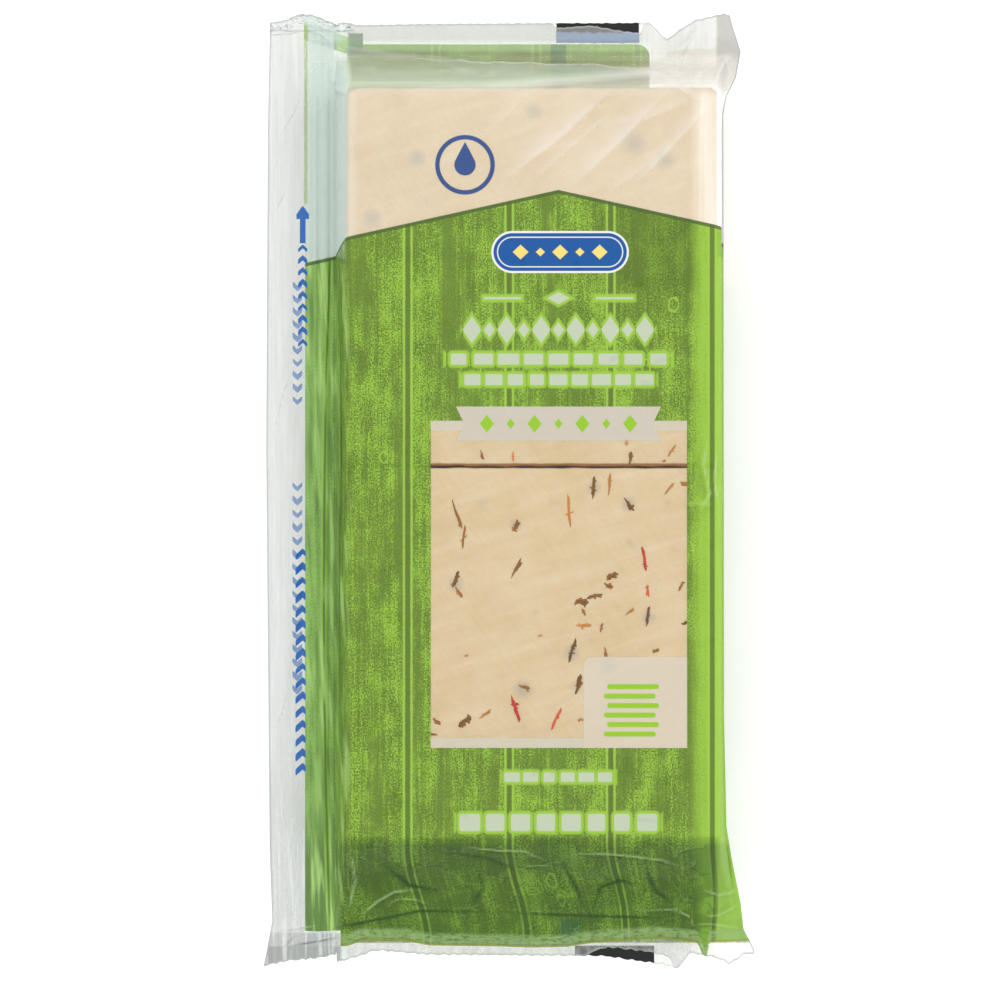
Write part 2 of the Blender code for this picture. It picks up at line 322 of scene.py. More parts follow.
@dataclass(frozen=True)
class Outline:
    """How far the film reaches on each side, and how its height falls at the ends."""

    header: Knots = field(default_factory=lambda: [
        (-117, -60.0), (-112, -59.0), (-105, -57.7), (-88, -58.3), (10, -59.2), (90, -58.8), (116, -58.3),
    ])
    right: Knots = field(default_factory=lambda: [
        (-117, 60.1), (-112, 60.0), (-107, 57.4), (-101, 56.7), (-90, 54.5), (-82, 53.2), (-55, 52.6),
        (92, 52.5), (96, 53.2), (101, 55.6), (107, 56.6), (113, 54.6), (117, 53.6),
    ])
    top_cut: Knots = field(default_factory=lambda: [
        (-58, 114.6), (-54.5, 115.2), (-51.5, 116.6), (-48, 116.4), (-41.5, 113.8), (-38, 114.6),
        (-35, 113.9), (-10, 114.3), (34, 114.5), (37, 110.2), (40.5, 112.6), (44.5, 114.8),
        (51.5, 116.2), (54, 115.2),
    ])
    bottom_cut: Knots = field(default_factory=lambda: [
        (-60, -116.2), (-54, -114.8), (-46, -114.0), (-41, -112.8), (-40, -115.2), (-35, -113.7),
        (-31, -112.2), (-19, -113.3), (20, -113.6), (33, -115.6), (37, -116.7), (39.5, -112.8),
        (46, -114.2), (48.5, -115.6), (52, -113.2), (60, -112.4),
    ])
    top_inset: Knots = field(default_factory=lambda: [
        (10.5, 0.0), (12.0, 1.2), (20.0, 0.6), (27.0, 2.0), (31.6, 2.6), (32.4, 0.0),
    ])
    bottom_inset: Knots = field(default_factory=lambda: [
        (16.4, 0.0), (18.0, 1.2), (22.0, 2.4), (30.0, 2.6), (35.0, 2.2), (36.0, 0.0),
    ])
    print_end: Knots = field(default_factory=lambda: [
        (-39.5, -111.2), (-38.4, -110.9), (-36.2, -109.9), (-25.3, -109.9), (-19.2, -111.1), (-2.1, -111.3),
        (6.0, -111.6), (14.3, -111.4), (18.2, -110.7), (24.8, -110.1), (37.0, -109.4), (46.0, -110.3),
        (46.6, -111.4), (48.3, -115.9), (48.9, -110.2), (58.2, -109.9),
    ])
    back_drop: Knots = field(default_factory=lambda: [
        (-106, 0.0), (-99, 0.15), (-92, 0.5), (-87, 0.86), (-84, 0.97), (-81, 1.0),
        (96, 1.0), (99.5, 0.93), (102.2, 0.6), (105, 0.2), (107.6, 0.0),
    ])


@dataclass
class FilmForm:
    """The film's own form: a grid of columns across the pack and rows along it.

    Attributes:
        sizes: The part's sizes.
        outline: How far the film reaches.
    """

    sizes: PackSizes
    outline: Outline

    def foot_right(self, y: np.ndarray) -> np.ndarray:
        """Where the right wall meets its fin."""
        s = self.sizes
        edge = along(self.outline.right, y)
        flare = np.maximum(edge - s.wall_right - s.wall_bulge_right, 0.0)
        return edge - s.fin_strip - (1.0 - s.flare_share) * flare

    def rise(self, y: np.ndarray) -> np.ndarray:
        """The printed face's share of the full height, eased so that the slopes have no edges."""
        s = self.sizes
        low = np.clip((y - s.slope_foot_bottom) / s.slope_run_bottom, 0.0, 1.0) ** 2.6
        high = np.clip((s.slope_foot_top - y) / s.slope_run_top, 0.0, 1.0) ** 2.0
        return (1.0 - (1.0 - low) ** 1.7) * (1.0 - (1.0 - high) ** 4.0)

    def seam(self, x: np.ndarray, y: np.ndarray) -> np.ndarray:
        """Height of the middle of the seals and fins."""
        s = self.sizes
        past_flange = smooth(s.foot_left, s.foot_left + 14.0, x)
        ear = s.ear_lift * smooth(34.0, 55.0, x) * smooth(97.0, 112.0, y)
        bottom, top = smooth(-96.0, -115.0, y), smooth(103.0, 115.0, y)
        wave = 0.5 * np.sin(x / 5.2) * (bottom + top)
        return s.seam_height + ear + past_flange * (wave - s.droop_bottom * bottom - s.droop_top * top)

    def zip_drape(self, x: np.ndarray) -> np.ndarray:
        """Half the gap between the two films: wide over the zip's tape and ribs, thin in the fins."""
        s = self.sizes
        tape = smooth(s.zip_left - 0.5, s.zip_left + 0.1, x)
        tape = tape * (1.0 - smooth(s.zip_right, s.zip_right + 0.5, x))
        guide = np.exp(-(((x - s.zip_right + s.guide_inset) / 0.42) ** 4))
        closure = np.exp(-(((x - s.zip_right + s.closure_inset) / 0.85) ** 4))
        return 0.1 + 0.28 * tape + 0.18 * guide + 0.34 * closure

    def columns(self, counts: dict[str, int]) -> list[tuple[str, np.ndarray]]:
        """The zones across the pack, each with the shares of its columns."""
        zones = [(zone, np.arange(count) / count) for zone, count in counts.items()]
        zones[-1] = (zones[-1][0], np.linspace(0.0, 1.0, counts["fin"]))
        return zones

    def across(self, zone: str, share: np.ndarray, y: np.ndarray) -> tuple[np.ndarray, np.ndarray]:
        """Where columns of a zone lie across the pack, and their share of the block's height.

        Args:
            zone: Which zone the columns belong to.
            share: Each column's share of its zone.
            y: Place along the pack of each point, rows by columns.

        Returns:
            Places across the pack and shares of the height, rows by columns.
        """
        s = self.sizes
        spread = np.sqrt(self.rise(y))
        full_rise = s.height - s.seam_height - 0.4
        shoulder = (s.height - s.corner_radius - s.seam_height) / full_rise
        left = mix(s.foot_left + s.fin_strip, s.wall_left, spread)
        foot = self.foot_right(y)
        right = mix(foot - s.fin_strip, s.wall_right, spread)
        radius = s.corner_radius
        flat = np.zeros_like(y)
        if zone == "header":
            return mix(along(self.outline.header, y), s.flange_left, share), flat
        if zone == "flange":
            return mix(s.flange_left + flat, s.foot_left, share), flat
        if zone == "wall_left":
            return mix(s.foot_left + flat, left, share ** 1.4), shoulder * share + flat
        if zone == "arc_left":
            angle = share * math.pi / 2.0
            return left + radius * (1.0 - np.cos(angle)), mix(shoulder, 1.0, np.sin(angle)) + flat
        if zone == "face":
            return mix(left + radius, right - radius, share), flat + 1.0
        if zone == "arc_right":
            angle = (1.0 - share) * math.pi / 2.0
            return right - radius * (1.0 - np.cos(angle)), mix(shoulder, 1.0, np.sin(angle)) + flat
        if zone == "wall_right":
            return mix(right, foot, share ** 0.7), shoulder * (1.0 - share) + flat
        return mix(foot, along(self.outline.right, y), share), flat

    def lengthwise(
        self, nominal: np.ndarray, counts: tuple[int, int, int], front: bool,
    ) -> tuple[np.ndarray, ...]:
        """Where rows lie along the pack: the outer rows follow the cut ends.

        Args:
            nominal: Each column's place across the pack at its middle.
            counts: Rows in the bottom end, the body and the top end.
            front: True for the printed face.

        Returns:
            Places along the pack, and the distances to the bottom and top cuts.
        """
        s = self.sizes
        low, high = s.cheese_bottom + s.end_inset, s.cheese_top - s.end_inset
        nick = 0.16 * np.sin(nominal * 2.7 + 0.8 * np.sin(nominal * 0.9)) + 0.07 * np.sin(nominal * 8.3)
        bottom = along(self.outline.bottom_cut, nominal) + nick
        top = along(self.outline.top_cut, nominal) + 0.5 * nick
        if front:
            bottom = bottom + along(self.outline.bottom_inset, nominal)
            top = top - along(self.outline.top_inset, nominal)
        at_bottom = np.arange(counts[0])[:, None] / counts[0]
        at_body = np.arange(counts[1])[:, None] / counts[1]
        at_top = np.linspace(0.0, 1.0, counts[2])[:, None]
        rows = [mix(bottom, low, at_bottom), mix(low, high, at_body) + 0.0 * nominal, mix(high, top, at_top)]
        y = np.vstack(rows)
        return y, y - bottom, top - y

    def past_stacks(self, y: np.ndarray, start: float, end: float) -> np.ndarray:
        """0 over the stacks, 1 past either end of them, between two distances from the end."""
        s = self.sizes
        low = smooth(s.cheese_bottom - start, s.cheese_bottom - end, y)
        return np.maximum(low, smooth(s.cheese_top + start, s.cheese_top + end, y))

    def joined(self, x: np.ndarray, y: np.ndarray) -> np.ndarray:
        """Where both sheets lie on each other and move as one: seals, fin, flange and header."""
        s = self.sizes
        ends = np.maximum(smooth(-104.5, -106.5, y), smooth(105.6, 107.6, y))
        foot = self.foot_right(y)
        sides = np.maximum(1.0 - smooth(s.foot_left - 0.6, s.foot_left, x), smooth(foot, foot + 0.3, x))
        return np.maximum(ends, sides)

    def relief(self, x: np.ndarray, y: np.ndarray) -> tuple[np.ndarray, np.ndarray, np.ndarray]:
        """How far creases and slack stand the film out, the soft folds' painted highlight bands, and the fold
        lines' painted shade and highlights.
        """
        s = self.sizes
        height, loose, shade = np.zeros_like(x), np.zeros_like(x), np.zeros_like(x)
        for crease in CREASES:
            shape, line = crease.shape(x, y)
            height += crease.height * shape
            line = line * min(abs(crease.height) * 2.0, 1.0)
            # Soft folds give painted highlight bands; sharp ones add to the fold lines' painted shade and
            # highlights.
            if crease.form is CreaseForm.SOFT:
                loose = np.maximum(loose, line)
            else:
                shade += line
        beyond = self.past_stacks(y, 0.0, 5.0)
        over_block = smooth(s.foot_left - 1.0, s.foot_left + 4.0, x)
        slack = beyond * over_block
        seal = np.maximum(smooth(-104.0, -108.5, y), smooth(105.5, 108.5, y))
        folds = 0.4 * (Ripple(15.0, 3, 2.4).ridged(x, y) - 0.55)
        folds = folds + 0.12 * (Ripple(6.0, 8, 2.0).ridged(x, y) - 0.5)
        height += slack * (1.0 - 0.8 * seal) * folds
        height += 0.10 * seal * Ripple(2.4, 14, 2.2).at(x, y) * over_block
        clear = smooth(60.0, 84.0, y) * over_block * (1.0 - beyond)
        waves = 0.05 * over_block * Ripple(16.0, 21, 1.8).at(x, y)
        height += waves + 0.06 * clear * Ripple(11.0, 5, 0.8).at(x + y, y)
        header = 1.0 - smooth(s.flange_left - 0.5, s.flange_left, x)
        height += header * (0.10 * Ripple(2.2, 41, 14.0).at(x, y) + 0.12 * Ripple(7.0, 43, 3.0).at(x, y))
        height += (1.0 - header) * (1.0 - over_block) * 0.05 * Ripple(1.6, 47, 20.0).at(x, y)
        tape = smooth(s.zip_left - 0.8, s.zip_left, x) * (1.0 - smooth(s.zip_right, s.zip_right + 0.8, x))
        return height * (1.0 - 0.85 * tape), loose, shade

    def sheet(
        self, columns: dict[str, int], rows: tuple[int, int, int], front: bool,
    ) -> dict[str, np.ndarray]:
        """Every point of one sheet of film, with what its print needs.

        Args:
            columns: How many columns each zone has.
            rows: Rows in the bottom end, the body and the top end.
            front: True for the printed face, false for the back.

        Returns:
            Arrays of rows by columns: x, y, z, the flat place across the print, contact with the cheese,
                distances to the cuts, the soft folds' painted highlight bands and the fold lines' painted
                shade and highlights.
        """
        s = self.sizes
        zones = self.columns(columns)
        middle = np.zeros((1, 1))
        nominal = np.concatenate([self.across(zone, share[None, :], middle)[0][0] for zone, share in zones])
        y, from_bottom, from_top = self.lengthwise(nominal[None, :], rows, front)
        pieces, start = [], 0
        for zone, share in zones:
            part = y[:, start:start + len(share)]
            pieces.append(self.across(zone, share[None, :], part))
            start += len(share)
        x = np.hstack([piece[0] for piece in pieces])
        lift = np.hstack([piece[1] for piece in pieces])
        left, right = x - along(self.outline.header, y), along(self.outline.right, y) - x
        rim = np.minimum(np.minimum(from_bottom, from_top), np.minimum(left, right))
        half = self.zip_drape(x) * (0.25 + 0.75 * smooth(0.0, 0.6, rim))
        base = self.seam(x, y)
        if front:
            z = base + half + np.maximum(s.height - base - half, 0.0) * lift * self.rise(y)
        else:
            base = base - half
            z = base - base * np.minimum(lift, 1.0) * along(self.outline.back_drop, y)
        contact = smooth(-0.4, 0.4, np.minimum(x - s.cheese_left, s.cheese_right - x))
        contact = contact * smooth(-0.5, 0.5, np.minimum(y - s.cheese_bottom, s.cheese_top - 1.2 - y))
        flat = self.flat_place(nominal, x, y, lift)
        end = y - along(self.outline.print_end, x)
        data = dict(x=x, y=y, z=z, flat=flat, contact=contact, end=end)
        data |= dict(bottom=from_bottom, top=from_top, left=left, right=right)
        self.drape(data, front)
        return data

    def flat_place(self, nominal: np.ndarray, x: np.ndarray, y: np.ndarray, lift: np.ndarray) -> np.ndarray:
        """Place across the flat print: as x on the face, with the walls unrolled beside it."""
        s = self.sizes
        drop = (s.height - s.seam_height) * (1.0 - lift[len(lift) // 2])
        unrolled = nominal + np.where(nominal < 0.0, -drop, drop) * 0.93
        pull = smooth(s.cheese_bottom - 1.0, s.cheese_bottom - 25.0, y)
        shift = along([(-50, 1.0), (-44, 2.0), (-24.5, 4.6), (25, 4.4), (49, 0.7), (60, 0.0)], x)
        return unrolled[None, :] + pull * (x - shift - nominal[None, :])

    def drape(self, data: dict[str, np.ndarray], front: bool) -> None:
        """Move every point along its own normal by the creases and slack of its sheet."""
        s = self.sizes
        x, y, z = data["x"], data["y"], data["z"]
        place = np.stack([x, y, z], axis=-1)
        normal = np.cross(np.gradient(place, axis=1), np.gradient(place, axis=0))
        normal /= np.maximum(np.linalg.norm(normal, axis=-1, keepdims=True), 1e-9)
        shared, loose, data["shade"] = self.relief(x, y)
        joined = self.joined(x, y)
        if front:
            eased = 0.5 * (shared + np.sqrt(shared * shared + 0.04)) - 0.06
            own = mix(shared, eased, np.clip(data["contact"] * 2.0, 0.0, 1.0))
            room = np.maximum(z - self.seam(x, y), 0.0)
            own = np.maximum(own, -0.45 * room)
            data["loose"] = loose
        else:
            normal = -normal
            ends = self.past_stacks(y, 1.0, 6.0)
            lap = smooth(9.8, 10.3, x) * (1.0 - smooth(14.0, 14.3, x))
            own = ends * 0.4 * Ripple(8.0, 53).ridged(x, y) + 0.1 * lap
            data["loose"] = np.zeros_like(x)
        moved = place + normal * (own * (1.0 - joined))[..., None]
        moved[..., 2] += shared * joined
        moved[..., 2] = np.maximum(moved[..., 2], 0.0)
        data["x"], data["y"], data["z"] = moved[..., 0], moved[..., 1], moved[..., 2]


class Field:
    """A number that varies over a surface, so that a sum of shader nodes reads as a sum."""

    def __init__(self, tree: bpy.types.NodeTree, value: "bpy.types.NodeSocket | float") -> None:
        """Hold a socket or a plain number."""
        self.tree = tree
        self.value = value

    def math(self, operation: str, *others: "Field | float", clamp: bool = False) -> "Field":
        """One maths node on this value and others.

        Args:
            operation: Blender's name for the operation.
            others: The other values.
            clamp: True to keep the result from 0 to 1.

        Returns:
            The result.
        """
        made = self.tree.nodes.new("ShaderNodeMath")
        made.operation = operation
        made.use_clamp = clamp
        for socket, item in zip(made.inputs, (self, *others)):
            value = item.value if isinstance(item, Field) else item
            if isinstance(value, (int, float)):
                socket.default_value = value
            else:
                self.tree.links.new(value, socket)
        return Field(self.tree, made.outputs[0])

    def __add__(self, other: "Field | float") -> "Field":
        """Sum."""
        return self.math("ADD", other)

    def __sub__(self, other: "Field | float") -> "Field":
        """Difference."""
        return self.math("SUBTRACT", other)

    def __mul__(self, other: "Field | float") -> "Field":
        """Product."""
        return self.math("MULTIPLY", other)

    def __neg__(self) -> "Field":
        """The negative."""
        return self.math("MULTIPLY", -1.0)

    def __abs__(self) -> "Field":
        """The size without its sign."""
        return self.math("ABSOLUTE")

    def least(self, other: "Field | float") -> "Field":
        """The smaller of two."""
        return self.math("MINIMUM", other)

    def most(self, other: "Field | float") -> "Field":
        """The larger of two."""
        return self.math("MAXIMUM", other)

    def inside(self, softness: float = 0.12) -> "Field":
        """1 where this distance is below nought, 0 above, with a soft edge."""
        return self.math("MULTIPLY_ADD", -1.0 / softness, 0.5, clamp=True)

    def ramp(self, low: float, high: float) -> "Field":
        """0 at low, 1 at high, straight between."""
        return self.math("MULTIPLY_ADD", 1.0 / (high - low), -low / (high - low), clamp=True)

    def blend(self, other: "Field | float", share: "Field | float") -> "Field":
        """The value a share of the way to another."""
        first = other - self if isinstance(other, Field) else (-self) + other
        return first.math("MULTIPLY_ADD", share, self)


class Painter:
    """Builds a layered colour: each layer has a mask, a colour and how much it covers."""

    def __init__(self, tree: bpy.types.NodeTree, colour: Colour, cover: float) -> None:
        """Start from one colour and cover."""
        self.tree = tree
        base = tree.nodes.new("ShaderNodeRGB")
        base.outputs[0].default_value = (*colour, 1.0)
        self.colour = base.outputs[0]
        self.cover = Field(tree, cover)

    def tint(self, colour: "Colour | bpy.types.NodeSocket", share: Field, mode: str = "MIX") -> None:
        """Blend a colour over what is there, by a share.

        Args:
            colour: The colour.
            share: Where, from 0 to 1.
            mode: Blender's name for the way of blending.
        """
        node = self.tree.nodes.new("ShaderNodeMix")
        node.data_type = "RGBA"
        node.blend_type = mode
        self.tree.links.new(share.value, node.inputs[0])
        self.tree.links.new(self.colour, node.inputs[6])
        if isinstance(colour, tuple):
            node.inputs[7].default_value = (*colour, 1.0)
        else:
            self.tree.links.new(colour, node.inputs[7])
        self.colour = node.outputs[2]

    def lay(self, mask: Field, colour: Colour, cover: float) -> None:
        """Lay one printed layer.

        Args:
            mask: Where it is, from 0 to 1.
            colour: Its colour.
            cover: How much it hides what lies behind the film.
        """
        self.tint(colour, mask)
        self.cover = self.cover.blend(cover, mask)


class Places:
    """The places that a film's shader reads, in millimetres, and the textures laid on them."""

    def __init__(self, tree: bpy.types.NodeTree, attributes: bool) -> None:
        """Read the object's place and, on film, its print attributes."""
        self.tree = tree
        coordinate = tree.nodes.new("ShaderNodeTexCoord")
        self.object = coordinate.outputs["Object"]
        x, y, z = self.split(self.object)
        self.x, self.y, self.z = (axis * 1000.0 for axis in (x, y, z))
        if attributes:
            # print_place also carries the soft folds' painted highlight bands, and print_sides the fold
            # lines' painted shade and highlights.
            self.flat, self.contact, self.loose = self.split(self.read("print_place"))
            self.bottom, self.top, self.end = self.split(self.read("print_edges"))
            self.left, self.right, self.shade = self.split(self.read("print_sides"))

    def read(self, name: str) -> bpy.types.NodeSocket:
        """The vector of a named attribute."""
        node = self.tree.nodes.new("ShaderNodeAttribute")
        node.attribute_name = name
        return node.outputs["Vector"]

    def split(self, socket: bpy.types.NodeSocket) -> tuple[Field, Field, Field]:
        """The three parts of a vector."""
        node = self.tree.nodes.new("ShaderNodeSeparateXYZ")
        self.tree.links.new(socket, node.inputs[0])
        return tuple(Field(self.tree, out) for out in node.outputs)

    def noise(
        self, u: Field, v: Field, detail: float = 2.0, roughness: float = 0.5, offset: float = 0.0,
    ) -> Field:
        """Cloudy noise from 0 to 1 on two coordinates already scaled to its grain."""
        place = self.tree.nodes.new("ShaderNodeCombineXYZ")
        self.tree.links.new(u.value, place.inputs[0])
        self.tree.links.new(v.value, place.inputs[1])
        place.inputs[2].default_value = offset
        node = self.tree.nodes.new("ShaderNodeTexNoise")
        node.inputs["Scale"].default_value = 1.0
        node.inputs["Detail"].default_value = detail
        node.inputs["Roughness"].default_value = roughness
        self.tree.links.new(place.outputs[0], node.inputs["Vector"])
        return Field(self.tree, node.outputs[0])

    def rim(self) -> Field:
        """Distance to the film's nearest cut edge."""
        return self.bottom.least(self.top).least(self.left.least(self.right))

    def chance(self, cell: Field, seed: float) -> Field:
        """One random number from 0 to 1 for each whole number."""
        node = self.tree.nodes.new("ShaderNodeTexWhiteNoise")
        node.noise_dimensions = "1D"
        self.tree.links.new((cell + seed).value, node.inputs["W"])
        return Field(self.tree, node.outputs[0])


@dataclass(frozen=True)
class Motif:
    """A row of plain repeated shapes in a place of the print.

    Attributes:
        centre: Middle of the row.
        width: Length of the row.
        height: Height of its shapes.
        pitch: From one shape to the next.
        fill: Share of the pitch that a shape takes at most.
        seed: Which lengths its dashes have.
    """

    centre: tuple[float, float]
    width: float
    height: float
    pitch: float
    fill: float = 0.72
    seed: float = 1.0

    def cell(self, u: Field) -> tuple[Field, Field]:
        """Which shape of the row a place belongs to, and how far it is from its middle."""
        start = u - (self.centre[0] - self.width / 2.0)
        cell = (start * (1.0 / self.pitch)).math("FLOOR")
        return cell, start - (cell + 0.5) * self.pitch

    def dashes(self, places: Places, u: Field, v: Field) -> Field:
        """Distance to a row of dashes with round ends and uneven lengths."""
        cell, local = self.cell(u)
        half = (places.chance(cell, self.seed) * 0.3 + 0.7) * (self.pitch * self.fill / 2.0)
        radius = self.height / 2.0 * 0.3
        reach = (abs(local) - half + radius).most(0.0)
        rise = (abs(v - self.centre[1]) - (self.height / 2.0 - radius)).most(0.0)
        length = (reach * reach + rise * rise).math("SQRT") - radius
        return length.most(abs(u - self.centre[0]) - self.width / 2.0)

    def lozenges(self, u: Field, v: Field) -> Field:
        """Distance to a row of lozenges, large and small in turn."""
        cell, local = self.cell(u)
        odd = (cell * 0.5).math("FRACT") * 2.0
        size = odd * -0.42 + 1.0
        reach = abs(local) * (2.0 / (self.pitch * self.fill)) + abs(v - self.centre[1]) * (2.0 / self.height)
        distance = (reach - size) * (self.height / 3.0)
        return distance.most(abs(u - self.centre[0]) - self.width / 2.0)


def box(
    u: Field, v: Field, centre: tuple[float, float], size: tuple[float, float], radius: float = 0.0,
) -> Field:
    """Distance to a rectangle of the print, with round corners if asked.

    Args:
        u: Place across.
        v: Place along.
        centre: The rectangle's middle.
        size: Its width and height.
        radius: Radius of its corners.

    Returns:
        The distance, negative inside.
    """
    reach = abs(u - centre[0]) - (size[0] / 2.0 - radius)
    rise = abs(v - centre[1]) - (size[1] / 2.0 - radius)
    if radius == 0.0:
        return reach.most(rise)
    out_reach, out_rise = reach.most(0.0), rise.most(0.0)
    corner = (out_reach * out_reach + out_rise * out_rise).math("SQRT")
    return corner + reach.most(rise).least(0.0) - radius


@dataclass(frozen=True)
class WoodInk:
    """The green ink, printed like painted planks with a speckled grain."""

    bright: Colour = srgb(146, 191, 62)
    middle: Colour = srgb(99, 128, 44)
    deep: Colour = srgb(72, 99, 27)
    seam: Colour = srgb(88, 114, 40)
    seam_line: Colour = srgb(150, 194, 70)
    plank: float = 24.64
    first_seam: float = -24.5
    seam_width: float = 1.15
    knots: tuple[tuple[float, float, float], ...] = (
        (39.9, 44.8, 1.5), (8.6, -95.4, 1.7), (9.9, -99.6, 1.1), (-30.0, 8.0, 1.4), (33.0, 30.0, 1.0),
    )

    def paint(self, places: Places, painter: Painter, u: Field, v: Field) -> None:
        """Lay the planks' colours on the painter."""
        zone = places.noise(u * 0.17, v * 0.014, 2.0, 0.6, 3.0)
        patch = places.noise(u * 0.16, v * 0.11, 3.0, 0.7, 13.0)
        streak = places.noise(u * 1.3, v * 0.05, 3.0, 0.7, 5.0)
        speck = places.noise(u * 2.9, v * 2.4, 3.0, 0.75, 7.0)
        rough = (zone * 0.7 + patch * 0.3 + streak * 0.3).ramp(0.55, 0.69)
        value = speck + patch * 0.32 + streak * 0.25 + zone * 0.1
        painter.tint(self.bright, value.ramp(0.82, 0.91) * (rough * 0.85 + 0.15))
        painter.tint(self.deep, value.ramp(0.82, 0.73) * (rough * 0.35 + 0.4))
        painter.tint(self.deep, v.ramp(40.0, 50.0) * u.ramp(18.0, 28.0) * 0.5)
        painter.tint(self.bright, u.ramp(43.8, 46.8) * (value.ramp(0.7, 0.86) * 0.36 + 0.64))
        for x, y, size in self.knots:
            ring = ((u - x) * (u - x) * 1.8 + (v - y) * (v - y)).math("SQRT") + (patch - 0.5) * 5.0
            painter.tint(self.seam_line, (abs(ring - size) - 0.22).inside(0.15) * 0.8)
        cell = (u - self.first_seam) * (1.0 / self.plank)
        gap = abs((cell + 0.5).math("FRACT") - 0.5) * self.plank
        edge = places.noise(v * 0.9, u * 0.2, 2.0, 0.6, 2.0) * 0.3 - 0.15
        beside = abs(gap - self.seam_width / 2.0 - 0.35) - 0.28 + edge
        painter.tint(self.seam_line, beside.inside(0.2) * 0.85)
        painter.tint(self.seam, (gap - self.seam_width / 2.0).inside(0.25) * 0.9)


class FilmMaterial:
    """A material in the making, with the places that it reads. Closed by finish, it is printed film."""

    def __init__(self, name: str, attributes: bool = True) -> None:
        """Make an empty material with its tree."""
        self.material = bpy.data.materials.new(name)
        self.material.use_nodes = True
        self.tree = self.material.node_tree
        self.tree.nodes.clear()
        self.places = Places(self.tree, attributes)

    def node(self, kind: str, **inputs: object) -> bpy.types.Node:
        """Add a node and set or link its inputs by name, with underscores for spaces."""
        made = self.tree.nodes.new(kind)
        for name, value in inputs.items():
            socket = made.inputs[name.replace("_", " ")]
            if isinstance(value, Field):
                value = value.value
            if isinstance(value, bpy.types.NodeSocket):
                self.tree.links.new(value, socket)
            else:
                socket.default_value = value
        return made

    def finish(
        self, painter: Painter, haze: Field, milk: Painter, bump: Field, strength: float,
    ) -> bpy.types.Material:
        """Close the shader: ink over hazy film over whatever lies behind, under a clear gloss.

        Args:
            painter: The print's colour and cover.
            haze: How milky the bare film is.
            milk: The colour of that haze.
            bump: Height of the fine relief, in millimetres.
            strength: How strongly it shows.

        Returns:
            The material.
        """
        clear_ink = painter.cover * -1.0 + 1.0
        seen = haze * clear_ink
        alpha = painter.cover + seen
        share = seen.math("DIVIDE", alpha.most(0.001), clamp=True)
        painter.tint(milk.colour, share)
        relief = self.node("ShaderNodeBump", Strength=strength, Distance=MM, Height=bump)
        body = self.node(
            "ShaderNodeBsdfPrincipled", Base_Color=painter.colour, Roughness=0.5, Alpha=alpha,
            Normal=relief.outputs[0],
        )
        body.inputs["Specular IOR Level"].default_value = 0.0
        gloss = self.node("ShaderNodeBsdfAnisotropic", Roughness=0.16, Normal=relief.outputs[0])
        gloss.inputs["Color"].default_value = (1.0, 1.0, 1.0, 1.0)
        fresnel = self.node("ShaderNodeFresnel", IOR=1.46, Normal=relief.outputs[0])
        mirror = Field(self.tree, fresnel.outputs[0]).least(0.24)
        skin = self.node("ShaderNodeMixShader", Fac=mirror)
        self.tree.links.new(body.outputs[0], skin.inputs[1])
        self.tree.links.new(gloss.outputs[0], skin.inputs[2])
        output = self.node("ShaderNodeOutputMaterial")
        self.tree.links.new(skin.outputs[0], output.inputs["Surface"])
        return self.material


